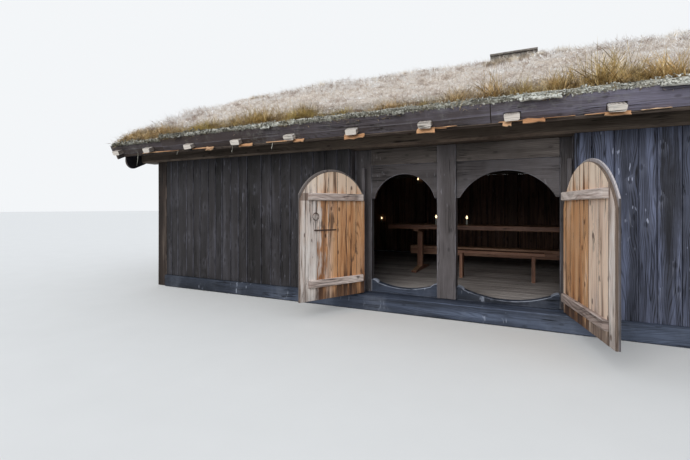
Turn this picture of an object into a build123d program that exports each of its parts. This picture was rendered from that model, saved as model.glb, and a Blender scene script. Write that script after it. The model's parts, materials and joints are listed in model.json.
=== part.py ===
from build123d import *
from math import cos, radians, sin, sqrt, tan
import os

# A long, low hall with a turf roof. The frame is +Z up from the ground, +X along the
# front wall and -Y out of the front. The origin is at ground level under the middle.

# Walls, to the outside of the boards
wall_length = 10020
wall_depth = 5400
wall_board = 55
sill_height = 200
sill_proud = 45
sill_width = 360
sill_arris = 14
corner_post = 200
post_arris = 8
plate_bottom = 2150
plate_proud = 20
plate_width = 310
plate_at_wall = 2420

# The portal: two arched openings with a post between them, set back from the front
portal_left = -1300
portal_right = 1355
portal_lap = 60
opening_left = -1060
opening_right = 1227
middle_post_x = -36
middle_post_width = 238
middle_post_arris = 7
portal_post_depth = 140
portal_recess = 170
behind_cross_boards = 40
jamb_strip_width = 44
jamb_strip_from_leaf = 6
jamb_strip_thickness = 60
jamb_strip_top = 1900
arch_board_thickness = 50
lintel_bottom = 1930
lintel_set_back = 15
lintel_depth = 100
arch_top = 1800
arch_spring = 1475
arch_haunch = 38
threshold_depth = 105
threshold_shoulder = 170
threshold_dip = {"left": 75, "right": 40}
threshold_shoulder_width = 90
threshold_shoulder_fall = 38
threshold_curl_width = 54
threshold_curl_fall = 9

# Doors: each leaf closes in the recess, laps over the middle post's edge and stands open here
leaf_lap = 33
leaf_from_post = 5
axis_in_front = 14
edge_to_axis = 15
facing_thickness = 18
plank_thickness = 26
arch_inset = 28
batten_height = 90
batten_thickness = 38
batten_edge_inset = 118
batten_hinge_inset = 8
batten_chamfer = 22
strap_width = 42
strap_tip_width = 21
strap_tip_length = 80
strap_thickness = 5
strap_short_of_edge = 300
eye_radius = 15
eye_height = 42
pin_radius = 7
pin_clearance = 0.5
pin_above_eye = 12
arm_gap = 1
left_door = {
    "name": "left_door", "axis_x": -1149, "closed": 0, "open": -117.5, "out": 1,
    "bottom": 208, "spring": 1510, "top": 1840, "battens": (370, 1443),
}
right_door = {
    "name": "right_door", "axis_x": 1306, "closed": 180, "open": 104, "out": -1,
    "bottom": 208, "spring": 1422, "top": 1814, "battens": (331, 1430),
}

# Ring handle and iron bar on the left door's inner face
ring_radius = 44
ring_wire = 4.5
ring_from_edge = 220
ring_below_batten = 155
ring_off_face = 15
staple_wire = 3
staple_clearance = 0.3
wire_sides = 8
bar_length = 330
bar_height = 16
bar_thickness = 9
bar_chamfer = 2.5
bar_from_edge = 205
bar_below_ring = 215

# Roof
slope = radians(25)
eave_overhang = 450
gable_overhang = 430
deck_thickness = 30
turf_thickness = 205
turf_lip = 25
turf_brow = 180
ridge_radius = 500
eave_board_height = 220
eave_board_thickness = 50
eave_board_proud = 20
eave_board_wane = 20
eave_board_wane_height = 88
first_length_end = -4290
second_length_end = 560
length_gap = 4
first_length_set_back = 14
first_length_lower = 45
peg_width = 155
peg_height = 75
under_peg = 25
peg_proud = 65
peg_tail = 420
peg_offset = -130
peg_pitch = 894
peg_count = 11
end_peg_inset = 100
barge_thickness = 40
barge_below_deck = 285
barge_end = 160
barge_nose_radius = 130
verge_thickness = 35
verge_below_deck = 45
verge_above_deck = 175
ridge_gap = 2
ridge_beam_width = 180
ridge_beam_height = 200
purlin_width = 160
purlin_height = 170
purlin_up_slope = 1960
tie_beam_size = 180
tie_beam_bottom = 2200
tie_beam_spacing = 3300
tie_beam_arris = 10
king_post_size = 150
vent_x = 625
vent_length = 700
vent_width = 480
vent_board = 40
vent_above_turf = 100
vent_lid_overhang = 35
vent_lid_thickness = 32
vent_lid_arris = 6

# Floor and posts inside
floor_thickness = 40
bearer_width = 150
bearer_spacing = 1560
bearer_count = 7
wall_post_size = 200
wall_post_spacing = 2170
wall_post_x = 490
front_wall_post_x = 3050

# Table and benches
table_height = 850
table_length = 3540
table_width = 800
table_thickness = 75
table_arris = 5
table_x = 290
table_front = -620
trestle_inset = 500
trestle_leg = 95
trestle_foot_height = 75
trestle_foot_end = 60
trestle_head_inset = 64
bench_height = 455
bench_length = 1390
bench_width = 240
bench_thickness = 45
bench_x = 405
bench_front = -890
bench_leg_inset = 155
bench_leg_thickness = 50
bench_leg_set_in = 25
bench_apron_thickness = 25
back_bench_height = 390
back_bench_length = 3240
back_bench_width = 330
back_bench_thickness = 50
back_bench_apron = 110
back_bench_x = 290
back_bench_front = 330

# Worked out from the sizes above
front = -wall_depth / 2
half_length = wall_length / 2
half_depth = wall_depth / 2
sill_inner = half_depth + sill_proud - sill_width
plate_inner = half_depth + plate_proud - plate_width
post_inner_x = half_length - corner_post
portal_face = front + portal_recess
portal_back = portal_face + portal_post_depth
post_left = middle_post_x - middle_post_width / 2
post_right = middle_post_x + middle_post_width / 2
eave_y = half_depth + eave_overhang
eave_z = plate_at_wall - eave_overhang * tan(slope)
slope_length = eave_y / cos(slope)
roof_half_length = half_length + gable_overhang
turf_half_length = roof_half_length + barge_thickness
verge_outer = turf_half_length + verge_thickness
turf_start = eave_board_thickness - eave_board_proud
turf_out = deck_thickness + turf_thickness
peak = eave_z + slope_length * sin(slope) + turf_out / cos(slope)
ridge_centre = peak - ridge_radius / cos(slope)
vent_top = ridge_centre + ridge_radius + vent_above_turf
floor_top = sill_height
door_axis_y = portal_face - leaf_from_post - plank_thickness - facing_thickness - axis_in_front
jamb_face = portal_face + behind_cross_boards
jamb_strip_face = jamb_face - jamb_strip_thickness
ring_height = left_door["battens"][1] - ring_below_batten
bar_z = ring_height - bar_below_ring
peg_bottom = deck_thickness + under_peg
end_peg_x = roof_half_length - end_peg_inset
peg_places = [peg_offset + peg_pitch * (i - peg_count // 2) for i in range(peg_count)]
peg_places = [-end_peg_x] + peg_places + [end_peg_x]

os.makedirs("parts", exist_ok=True)


def finish(piece, name):
    """Label a piece and write it."""
    piece.part.label = name
    export_step(piece.part, "parts/" + name + ".step")


def roof_point(side, up, out):
    """Y and Z of a place on a roof slope: up from the eave, and out from the deck's underside."""
    y = side * (eave_y - up * cos(slope) + out * sin(slope))
    return (y, eave_z + up * sin(slope) + out * cos(slope))


def up_at_ridge(out):
    """The distance up the slope at which a line that far out meets the middle of the roof."""
    return slope_length + out * tan(slope)


def under_deck(y):
    """Height of the deck's underside over a place across the house."""
    return eave_z + (eave_y - abs(y)) * tan(slope)


def timbers(name, boxes, arris=0):
    """Squared timbers, each between two opposite corners, with their long arrises taken off."""
    with BuildPart() as piece:
        for low, high in boxes:
            size = [b - a for a, b in zip(low, high)]
            middle = [(a + b) / 2 for a, b in zip(low, high)]
            with BuildSketch(Plane.XY.offset(low[2])):
                with Locations((middle[0], middle[1])):
                    Rectangle(size[0], size[1])
            extrude(amount=size[2])
            if arris:
                run = (Axis.X, Axis.Y, Axis.Z)[size.index(max(size))]
                chamfer(piece.edges(Select.LAST).filter_by(run), arris)
    finish(piece, name)


def across_roof(name, outlines, spans):
    """Pieces that keep one outline, seen from the gable, over each span of the length."""
    with BuildPart() as piece:
        for x0, x1 in spans:
            for outline in outlines:
                with BuildSketch(Plane.YZ.offset(x0)):
                    with BuildLine():
                        Polyline(*outline, close=True)
                    make_face()
                extrude(amount=x1 - x0)
    finish(piece, name)


# Sills, corner posts and wall plates

def between(a, b):
    """Two places along one axis, the lower one first."""
    return (min(a, b), max(a, b))


def corners(x_span, y_span, z_span):
    """The lowest and highest corner of a block, from its span along each axis."""
    spans = (between(*x_span), between(*y_span), between(*z_span))
    return (tuple(s[0] for s in spans), tuple(s[1] for s in spans))


timbers("sills_long", [
    corners((-post_inner_x, post_inner_x),
            (side * (half_depth + sill_proud), side * sill_inner), (0, sill_height))
    for side in (-1, 1)
], sill_arris)
timbers("sills_gable", [
    corners((side * (half_length + sill_proud), side * post_inner_x),
            (corner_post - half_depth, half_depth - corner_post), (0, sill_height))
    for side in (-1, 1)
], sill_arris)

timbers("corner_posts", [
    corners((sx * half_length, sx * post_inner_x), (sy * half_depth, sy * (half_depth - corner_post)),
            (0, plate_bottom))
    for sx in (-1, 1) for sy in (-1, 1)
], post_arris)

plate_outlines = []
for side in (-1, 1):
    outer = side * (half_depth + plate_proud)
    inner = side * plate_inner
    plate_outlines.append([
        (outer, plate_bottom), (inner, plate_bottom), (inner, under_deck(inner)),
        (outer, under_deck(outer)),
    ])
across_roof("wall_plates", plate_outlines, [(-roof_half_length, roof_half_length)])

# Board walls between sill and plate

timbers("wall_front_left", [
    ((-post_inner_x, front, sill_height), (portal_left, front + wall_board, plate_bottom))])
timbers("wall_front_right", [
    ((portal_right, front, sill_height), (post_inner_x, front + wall_board, plate_bottom))])
timbers("wall_back", [
    ((-post_inner_x, half_depth - wall_board, sill_height), (post_inner_x, half_depth, plate_bottom))])


def ridge_beam_outline():
    """The ridge beam's section: a squared log with its top cut to both slopes."""
    half = ridge_beam_width / 2
    top = under_deck(half)
    return [
        (-half, top - ridge_beam_height), (half, top - ridge_beam_height), (half, top),
        (0, under_deck(0)), (-half, top),
    ]


def purlin_outline(side):
    """A purlin's section, square to the slope that it carries."""
    low = purlin_up_slope - purlin_width / 2
    high = purlin_up_slope + purlin_width / 2
    return [
        roof_point(side, low, 0), roof_point(side, high, 0),
        roof_point(side, high, -purlin_height), roof_point(side, low, -purlin_height),
    ]


for name, side in (("wall_gable_left", -1), ("wall_gable_right", 1)):
    with BuildPart() as gable:
        with BuildSketch(Plane.YZ.offset(side * half_length)):
            with BuildLine():
                Polyline(
                    (-half_depth + corner_post, sill_height), (half_depth - corner_post, sill_height),
                    (half_depth - corner_post, plate_bottom), (plate_inner, plate_bottom),
                    (plate_inner, under_deck(plate_inner)), (0, under_deck(0)),
                    (-plate_inner, under_deck(plate_inner)), (-plate_inner, plate_bottom),
                    (-half_depth + corner_post, plate_bottom), close=True)
            make_face()
            for outline in (ridge_beam_outline(), purlin_outline(-1), purlin_outline(1)):
                with BuildLine():
                    Polyline(*outline, close=True)
                make_face(mode=Mode.SUBTRACT)
        extrude(amount=-side * wall_board)
    finish(gable, name)

# Roof timbers and deck

across_roof("ridge_beam", [ridge_beam_outline()], [(-roof_half_length, roof_half_length)])
across_roof("purlins", [purlin_outline(-1), purlin_outline(1)],
            [(-roof_half_length, roof_half_length)])

tie_places = [tie_beam_spacing * k for k in (-1, 0, 1)]
timbers("tie_beams", [
    ((x - tie_beam_size / 2, -plate_inner, tie_beam_bottom),
     (x + tie_beam_size / 2, plate_inner, tie_beam_bottom + tie_beam_size))
    for x in tie_places
], tie_beam_arris)
king_top = under_deck(ridge_beam_width / 2) - ridge_beam_height
timbers("king_posts", [
    ((x - king_post_size / 2, -king_post_size / 2, tie_beam_bottom + tie_beam_size),
     (x + king_post_size / 2, king_post_size / 2, king_top))
    for x in tie_places
], post_arris)

for name, side in (("roof_deck_front", -1), ("roof_deck_back", 1)):
    across_roof(name, [[
        roof_point(side, 0, 0), roof_point(side, slope_length, 0),
        roof_point(side, up_at_ridge(deck_thickness), deck_thickness),
        roof_point(side, 0, deck_thickness),
    ]], [(-roof_half_length, roof_half_length)])

# Turf: a thick sod layer on each slope, rounded over the ridge, with the vent's curb let in

for name, side in (("turf_front", -1), ("turf_back", 1)):
    with BuildPart() as turf:
        with BuildSketch(Plane.YZ):
            with BuildLine():
                shoulder = (side * ridge_radius * sin(slope), ridge_centre + ridge_radius * cos(slope))
                foot = roof_point(side, turf_start, deck_thickness)
                lip = roof_point(side, turf_start, turf_out - turf_lip)
                brow = roof_point(side, turf_start + turf_brow, turf_out)
                middle = (side * ridge_radius * sin(slope / 2),
                          ridge_centre + ridge_radius * cos(slope / 2))
                top = (0, ridge_centre + ridge_radius)
                base = roof_point(side, up_at_ridge(deck_thickness), deck_thickness)
                Line(foot, lip)
                Line(lip, brow)
                Line(brow, shoulder)
                ThreePointArc(shoulder, middle, top)
                Line(top, base)
                Line(base, foot)
            make_face()
        extrude(amount=turf_half_length, both=True)
        deck_top = Plane(
            origin=(0, *roof_point(side, 0, deck_thickness)), x_dir=(1, 0, 0),
            z_dir=(0, side * sin(slope), cos(slope)))
        with BuildSketch(deck_top.offset(under_peg)):
            for x in peg_places:
                with Locations((x, -side * (turf_start + peg_tail) / 2)):
                    Rectangle(peg_width, turf_start + peg_tail)
        extrude(amount=peg_height, mode=Mode.SUBTRACT)
        with BuildSketch(Plane.XY.offset(ridge_centre)):
            with Locations((vent_x, 0)):
                Rectangle(vent_length, vent_width)
        extrude(amount=2 * ridge_radius, both=True, mode=Mode.SUBTRACT)
    finish(turf, name)

# Vent on the ridge: a curb of four boards that stands on the deck, and a board lid

with BuildPart() as vent_curb:
    with BuildSketch(Plane.XY.offset(vent_top)):
        with Locations((vent_x, 0)):
            Rectangle(vent_length, vent_width)
            Rectangle(vent_length - 2 * vent_board, vent_width - 2 * vent_board, mode=Mode.SUBTRACT)
    extrude(amount=-(vent_top - under_deck(half_depth)))
    with BuildSketch(Plane.YZ.offset(vent_x)):
        with BuildLine():
            Polyline(
                roof_point(-1, 0, deck_thickness),
                roof_point(-1, up_at_ridge(deck_thickness), deck_thickness),
                roof_point(1, 0, deck_thickness), close=True)
        make_face()
    extrude(amount=vent_length, both=True, mode=Mode.SUBTRACT)
finish(vent_curb, "vent_curb")

timbers("vent_lid", [
    ((vent_x - vent_length / 2 - vent_lid_overhang, -vent_width / 2 - vent_lid_overhang, vent_top),
     (vent_x + vent_length / 2 + vent_lid_overhang, vent_width / 2 + vent_lid_overhang,
      vent_top + vent_lid_thickness))
], vent_lid_arris)

# Eaves: a turf-holding board on edge on the deck, in lengths, its lower outer edge hewn back,
# held by pegs that pass through it

with BuildPart() as eave_boards:
    spans = (
        (-verge_outer, first_length_end - length_gap, first_length_set_back, first_length_lower),
        (first_length_end, second_length_end - length_gap, 0, 0),
        (second_length_end, verge_outer, 0, 0),
    )
    for side in (-1, 1):
        for x0, x1, set_back, lower in spans:
            near = -eave_board_proud + set_back
            far = eave_board_thickness - eave_board_proud
            top = deck_thickness + eave_board_height - lower
            with BuildSketch(Plane.YZ.offset(x0)):
                with BuildLine():
                    Polyline(
                        roof_point(side, near + eave_board_wane, deck_thickness),
                        roof_point(side, far, deck_thickness),
                        roof_point(side, far, top), roof_point(side, near, top),
                        roof_point(side, near, deck_thickness + eave_board_wane_height), close=True)
                make_face()
            extrude(amount=x1 - x0)
        board_foot = Plane(
            origin=(0, *roof_point(side, 0, deck_thickness)), x_dir=(1, 0, 0),
            z_dir=(0, side * sin(slope), cos(slope)))
        with BuildSketch(board_foot.offset(under_peg)):
            for x in peg_places:
                with Locations((x, 0)):
                    Rectangle(peg_width, 4 * eave_board_thickness)
        extrude(amount=peg_height, mode=Mode.SUBTRACT)
finish(eave_boards, "eave_boards")

for name, side in (("eave_pegs_front", -1), ("eave_pegs_back", 1)):
    across_roof(name, [[
        roof_point(side, -eave_board_proud - peg_proud, peg_bottom),
        roof_point(side, turf_start + peg_tail, peg_bottom),
        roof_point(side, turf_start + peg_tail, peg_bottom + peg_height),
        roof_point(side, -eave_board_proud - peg_proud, peg_bottom + peg_height),
    ]], [(x - peg_width / 2, x + peg_width / 2) for x in peg_places])

# Gable edges: a deep barge board under the deck's edge, and a board that holds the turf

with BuildPart() as barge_boards:
    for x0 in (-roof_half_length - barge_thickness, roof_half_length):
        for side in (-1, 1):
            nose_y = side * (eave_y - barge_end)
            top_y = side * ridge_gap / 2
            with BuildSketch(Plane.YZ.offset(x0)) as barge_face:
                with BuildLine():
                    Polyline(
                        (nose_y, under_deck(nose_y) + deck_thickness / cos(slope)),
                        (nose_y, under_deck(nose_y) - barge_below_deck / cos(slope)),
                        (top_y, under_deck(top_y) - barge_below_deck / cos(slope)),
                        (top_y, under_deck(top_y) + deck_thickness / cos(slope)),
                        close=True)
                make_face()
                fillet(barge_face.vertices().sort_by(Axis.Y)[0], barge_nose_radius)
            extrude(amount=barge_thickness)
finish(barge_boards, "barge_boards")

verge_outlines = []
for side in (-1, 1):
    top_y = side * ridge_gap / 2
    low = (top_y, under_deck(top_y) - verge_below_deck / cos(slope))
    high = (top_y, under_deck(top_y) + verge_above_deck / cos(slope))
    verge_outlines.append([
        roof_point(side, turf_start, -verge_below_deck), low, high,
        roof_point(side, turf_start, verge_above_deck),
    ])
across_roof("verge_boards", verge_outlines, [
    (-verge_outer, -verge_outer + verge_thickness), (verge_outer - verge_thickness, verge_outer)])

# Floor and its bearers, and the posts inside the long walls

timbers("floor", [
    ((-post_inner_x, -sill_inner, floor_top - floor_thickness), (post_inner_x, sill_inner, floor_top))])
bearer_places = [bearer_spacing * (i - bearer_count // 2) for i in range(bearer_count)]
timbers("floor_bearers", [
    ((x - bearer_width / 2, -sill_inner, 0), (x + bearer_width / 2, sill_inner, floor_top - floor_thickness))
    for x in bearer_places
])
back_face = half_depth - wall_board
timbers("wall_posts", [
    ((x - wall_post_size / 2, back_face - wall_post_size, sill_height),
     (x + wall_post_size / 2, back_face, plate_bottom))
    for x in [wall_post_x + wall_post_spacing * k for k in (-2, -1, 0, 1)]
] + [
    ((x - wall_post_size / 2, -back_face, sill_height),
     (x + wall_post_size / 2, -back_face + wall_post_size, plate_bottom))
    for x in (-front_wall_post_x, front_wall_post_x)
], post_arris)

# Portal: side posts that step back behind the wall's ends, with a narrow strip beside each
# leaf's hinge edge, middle post, lintels, arched boards and scalloped thresholds

with BuildPart() as portal_posts:
    post_front = front + wall_board
    for inward, wall_end, opening in ((1, portal_left, opening_left), (-1, portal_right, opening_right)):
        outer = wall_end - inward * portal_lap
        with BuildSketch(Plane.XY.offset(sill_height)):
            with BuildLine():
                Polyline(
                    (outer, post_front), (wall_end, post_front), (wall_end, jamb_face),
                    (opening, jamb_face), (opening, portal_back), (outer, portal_back), close=True)
            make_face()
        extrude(amount=plate_bottom - sill_height)
finish(portal_posts, "portal_posts")

strip_near = edge_to_axis - jamb_strip_from_leaf
strip_far = strip_near - jamb_strip_width
timbers("jamb_strips", [
    corners((door["axis_x"] + door["out"] * strip_near, door["axis_x"] + door["out"] * strip_far),
            (jamb_strip_face, jamb_face), (sill_height, jamb_strip_top))
    for door in (left_door, right_door)
])

timbers("middle_post", [
    ((post_left, portal_face, sill_height), (post_right, portal_back, plate_bottom))], middle_post_arris)
timbers("lintels", [
    ((x0, portal_face + lintel_set_back, lintel_bottom),
     (x1, portal_face + lintel_set_back + lintel_depth, plate_bottom))
    for x0, x1 in ((opening_left, post_left), (post_right, opening_right))
])

for name, x0, x1 in (("arch_board_left", opening_left, post_left),
                     ("arch_board_right", post_right, opening_right)):
    half = (x1 - x0) / 2 - arch_haunch
    rise = arch_top - arch_spring
    radius = (half ** 2 + rise ** 2) / (2 * rise)
    middle = (x0 + x1) / 2
    with BuildPart() as arch_board:
        with BuildSketch(Plane.XZ.offset(-jamb_face)):
            with BuildLine():
                Polyline(
                    (middle - half, arch_spring), (x0, arch_spring), (x0, lintel_bottom),
                    (x1, lintel_bottom), (x1, arch_spring), (middle + half, arch_spring))
                ThreePointArc(
                    (middle + half, arch_spring), (middle, arch_top), (middle - half, arch_spring))
            make_face()
        extrude(amount=-arch_board_thickness)
    finish(arch_board, name)

with BuildPart() as thresholds:
    for key, x0, x1 in (("left", opening_left, post_left), ("right", post_right, opening_right)):
        dip = sill_height + threshold_dip[key]
        top = sill_height + threshold_shoulder
        shoulder = threshold_shoulder_width
        curl = threshold_curl_width
        middle = (x0 + x1) / 2
        fall = top - threshold_shoulder_fall
        curled = top - threshold_curl_fall
        with BuildSketch(Plane.XZ.offset(-jamb_face)):
            with BuildLine():
                Polyline((x0, top), (x0, sill_height), (x1, sill_height), (x1, top))
                ThreePointArc((x1, top), (x1 - curl, curled), (x1 - shoulder, fall))
                ThreePointArc((x1 - shoulder, fall), (middle, dip), (x0 + shoulder, fall))
                ThreePointArc((x0 + shoulder, fall), (x0 + curl, curled), (x0, top))
            make_face()
        extrude(amount=-threshold_depth)
finish(thresholds, "thresholds")

# Doors


def door_plane(door, outward=0):
    """The leaf's own plane: x from the pin towards the free edge, y up, outward from the house."""
    angle = radians(door["closed"] + door["open"])
    along = (cos(angle), sin(angle), 0)
    plane = Plane(origin=(door["axis_x"], door_axis_y, 0), x_dir=along,
                  z_dir=(along[1], -along[0], 0))
    return plane.offset(door["out"] * outward)


def leaf_width(door):
    """From the hinge edge to the free edge, which laps over the middle post's near edge."""
    post_edge = middle_post_x - door["out"] * middle_post_width / 2
    return abs(door["axis_x"] - post_edge) - edge_to_axis + leaf_lap


def leaf_layer(door, name, outer_face, thickness, inset):
    """One layer of a leaf, with its head a segment of a circle, less an inset round the head."""
    width = leaf_width(door)
    half = width / 2
    rise = door["top"] - door["spring"]
    radius = (half ** 2 + rise ** 2) / (2 * rise)
    centre = door["top"] - radius
    arc_radius = radius - inset
    spring = centre + sqrt(arc_radius ** 2 - half ** 2)
    near = edge_to_axis
    with BuildPart() as layer:
        with BuildSketch(door_plane(door, outer_face)):
            with BuildLine():
                Polyline(
                    (near, spring), (near, door["bottom"]), (near + width, door["bottom"]),
                    (near + width, spring))
                ThreePointArc(
                    (near + width, spring), (near + half, centre + arc_radius), (near, spring))
            make_face()
        extrude(amount=-door["out"] * thickness)
    finish(layer, name)


def door_spot(door, along, outward):
    """X and Y of a place on a door, from how far along the leaf it is and how far outward."""
    spot = door_plane(door).from_local_coords((along, 0, door["out"] * outward))
    return (spot.X, spot.Y)


def door_battens(door, name):
    """Two cross boards on the inner face, short of the free edge, their ends bevelled."""
    inner = -axis_in_front - facing_thickness - plank_thickness
    start = edge_to_axis + batten_chamfer + batten_hinge_inset
    end = edge_to_axis + leaf_width(door) - batten_edge_inset
    with BuildPart() as battens:
        for height in door["battens"]:
            with BuildSketch(Plane.XY.offset(height)):
                with BuildLine():
                    Polyline(
                        door_spot(door, start, inner), door_spot(door, end, inner),
                        door_spot(door, end - batten_chamfer, inner - batten_thickness),
                        door_spot(door, start + batten_chamfer, inner - batten_thickness), close=True)
                make_face()
            extrude(amount=batten_height)
    finish(battens, name)


def door_straps(door, name):
    """Two iron straps on the outer face, each with an eye round its pin."""
    tip = edge_to_axis + leaf_width(door) - strap_short_of_edge
    neck = tip - strap_tip_length
    with BuildPart() as straps:
        for height in door["battens"]:
            middle = height + batten_height / 2
            with BuildSketch(door_plane(door, -axis_in_front)):
                with BuildLine():
                    Polyline(
                        (0, middle - strap_width / 2), (neck, middle - strap_tip_width / 2),
                        (tip, middle), (neck, middle + strap_tip_width / 2),
                        (0, middle + strap_width / 2), close=True)
                make_face()
            extrude(amount=door["out"] * strap_thickness)
            with BuildSketch(Plane.XY.offset(middle - eye_height / 2)):
                with Locations((door["axis_x"], door_axis_y)):
                    Circle(eye_radius)
            extrude(amount=eye_height)
            with BuildSketch(Plane.XY.offset(middle - eye_height)):
                with Locations((door["axis_x"], door_axis_y)):
                    Circle(pin_radius + pin_clearance)
            extrude(amount=2 * eye_height, mode=Mode.SUBTRACT)
    finish(straps, name)


for door in (left_door, right_door):
    name = door["name"]
    leaf_layer(door, name + "_facing", -axis_in_front, facing_thickness, 0)
    leaf_layer(door, name + "_planks", -axis_in_front - facing_thickness, plank_thickness, arch_inset)
    door_battens(door, name + "_battens")
    door_straps(door, name + "_straps")

with BuildPart() as door_pins:
    for door in (left_door, right_door):
        for height in door["battens"]:
            eye_bottom = height + batten_height / 2 - eye_height / 2
            arm_top = eye_bottom - arm_gap
            with BuildSketch(Plane.XY.offset(arm_top - 2 * pin_radius)):
                with Locations((door["axis_x"], door_axis_y)):
                    Circle(pin_radius)
            extrude(amount=2 * pin_radius + arm_gap + eye_height + pin_above_eye)
            with BuildSketch(Plane.XY.offset(arm_top - 2 * pin_radius)):
                reach = jamb_strip_face - door_axis_y
                with Locations((door["axis_x"], door_axis_y + reach / 2)):
                    Rectangle(2 * pin_radius, reach)
            extrude(amount=2 * pin_radius)
finish(door_pins, "door_pins")

# Ring handle and its staple, both of eight-sided forged wire, and the iron bar, on the left
# door's inner face

inner_face = -axis_in_front - facing_thickness - plank_thickness
ring_u = edge_to_axis + leaf_width(left_door) - ring_from_edge
ring_plane = door_plane(left_door, inner_face - ring_off_face)
ring_top = ring_plane.from_local_coords((ring_u, ring_height, 0))
inward = -ring_plane.z_dir
along = ring_plane.x_dir

with BuildPart() as ring:
    with BuildSketch(Plane(origin=ring_plane.from_local_coords((ring_u, ring_height, 0)),
                           x_dir=inward, z_dir=along)):
        RegularPolygon(ring_wire, wire_sides)
    revolve(axis=Axis(ring_plane.from_local_coords((ring_u, ring_height - ring_radius, 0)), inward),
            revolution_arc=360)
finish(ring, "left_door_ring")

staple_radius = ring_wire + staple_clearance + staple_wire
with BuildPart() as staple:
    eye_plane = Plane(origin=ring_top, x_dir=inward, z_dir=along)
    with BuildSketch(Plane(origin=eye_plane.from_local_coords((0, staple_radius, 0)),
                           x_dir=along, z_dir=inward)):
        RegularPolygon(staple_wire, wire_sides)
    revolve(axis=Axis(ring_top, along), revolution_arc=360)
    with BuildSketch(Plane(origin=eye_plane.from_local_coords((-ring_off_face, 0, 0)),
                           x_dir=along, z_dir=inward)):
        RegularPolygon(staple_wire, wire_sides)
    extrude(amount=ring_off_face - staple_radius)
finish(staple, "left_door_staple")

with BuildPart() as bar:
    with BuildSketch(door_plane(left_door, inner_face)):
        with Locations((edge_to_axis + leaf_width(left_door) - bar_from_edge - bar_length / 2, bar_z)):
            Rectangle(bar_length, bar_height)
    extrude(amount=-bar_thickness)
    chamfer(bar.faces().sort_by(Axis(ring_top, inward))[-1].edges(), bar_chamfer)
finish(bar, "left_door_bar")

# Table on two trestles, the bench before it and the bench behind it

table_top_z = floor_top + table_height
timbers("table_top", [
    ((table_x - table_length / 2, table_front, table_top_z - table_thickness),
     (table_x + table_length / 2, table_front + table_width, table_top_z))
], table_arris)

with BuildPart() as trestles:
    middle_y = table_front + table_width / 2
    foot_half = table_width / 2 + trestle_foot_end
    foot_top = floor_top + trestle_foot_height
    foot_edge = floor_top + trestle_foot_height / 2
    head_half = table_width / 2 - trestle_head_inset
    head_top = table_top_z - table_thickness
    head_bottom = head_top - trestle_foot_height
    head_edge = head_top - trestle_foot_height / 2
    leg_half = trestle_leg / 2
    for side in (-1, 1):
        x = table_x + side * (table_length / 2 - trestle_inset)
        with BuildSketch(Plane.YZ.offset(x - leg_half)):
            with BuildLine():
                Polyline(
                    (middle_y - foot_half, floor_top), (middle_y + foot_half, floor_top),
                    (middle_y + foot_half, foot_edge), (middle_y + trestle_leg, foot_top),
                    (middle_y + leg_half, foot_top), (middle_y + leg_half, head_bottom),
                    (middle_y + head_half, head_edge), (middle_y + head_half, head_top),
                    (middle_y - head_half, head_top), (middle_y - head_half, head_edge),
                    (middle_y - leg_half, head_bottom), (middle_y - leg_half, foot_top),
                    (middle_y - trestle_leg, foot_top), (middle_y - foot_half, foot_edge),
                    close=True)
            make_face()
        extrude(amount=trestle_leg)
finish(trestles, "table_trestles")


def bench(name, x, length, y, width, height, thickness, apron):
    """A plank seat on two upright board legs, with an apron where it has one."""
    seat_bottom = floor_top + height - thickness
    with BuildPart() as seat:
        with BuildSketch(Plane.XY.offset(seat_bottom)):
            with Locations((x, y + width / 2)):
                Rectangle(length, width)
        extrude(amount=thickness)
        with BuildSketch(Plane.XY.offset(floor_top)):
            for side in (-1, 1):
                with Locations((x + side * (length / 2 - bench_leg_inset), y + width / 2)):
                    Rectangle(bench_leg_thickness, width - 2 * bench_leg_set_in)
        extrude(amount=seat_bottom - floor_top)
        if apron:
            with BuildSketch(Plane.XY.offset(seat_bottom - apron)):
                with Locations((x, y + bench_apron_thickness / 2)):
                    Rectangle(length, bench_apron_thickness)
            extrude(amount=apron)
    finish(seat, name)


bench("front_bench", bench_x, bench_length, bench_front, bench_width, bench_height,
      bench_thickness, 0)
bench("back_bench", back_bench_x, back_bench_length, back_bench_front, back_bench_width,
      back_bench_height, back_bench_thickness, back_bench_apron)
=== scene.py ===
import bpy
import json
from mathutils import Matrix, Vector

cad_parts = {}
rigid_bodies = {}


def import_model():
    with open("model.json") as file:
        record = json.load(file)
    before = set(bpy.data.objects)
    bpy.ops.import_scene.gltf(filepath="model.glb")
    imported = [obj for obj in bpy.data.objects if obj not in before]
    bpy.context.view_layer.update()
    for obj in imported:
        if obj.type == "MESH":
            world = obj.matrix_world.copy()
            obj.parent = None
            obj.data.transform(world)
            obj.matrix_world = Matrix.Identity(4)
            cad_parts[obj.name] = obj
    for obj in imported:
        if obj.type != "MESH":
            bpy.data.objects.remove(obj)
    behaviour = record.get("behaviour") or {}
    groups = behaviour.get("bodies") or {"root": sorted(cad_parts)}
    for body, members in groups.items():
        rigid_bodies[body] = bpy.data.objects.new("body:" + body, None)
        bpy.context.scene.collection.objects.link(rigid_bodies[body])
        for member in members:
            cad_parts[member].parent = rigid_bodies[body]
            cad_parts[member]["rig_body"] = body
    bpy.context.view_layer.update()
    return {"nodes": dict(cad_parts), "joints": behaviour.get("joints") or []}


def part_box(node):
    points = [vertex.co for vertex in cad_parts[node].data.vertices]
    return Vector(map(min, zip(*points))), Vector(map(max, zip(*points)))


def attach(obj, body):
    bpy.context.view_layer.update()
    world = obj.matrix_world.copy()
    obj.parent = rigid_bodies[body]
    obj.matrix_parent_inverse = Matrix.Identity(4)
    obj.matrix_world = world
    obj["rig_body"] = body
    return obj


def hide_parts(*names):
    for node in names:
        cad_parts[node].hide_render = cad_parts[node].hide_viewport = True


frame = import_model()

import json
import random
from itertools import pairwise
from math import cos, pi, radians, sin, sqrt, tan

import bmesh
import bpy
import numpy as np
from mathutils import Vector, noise

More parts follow.
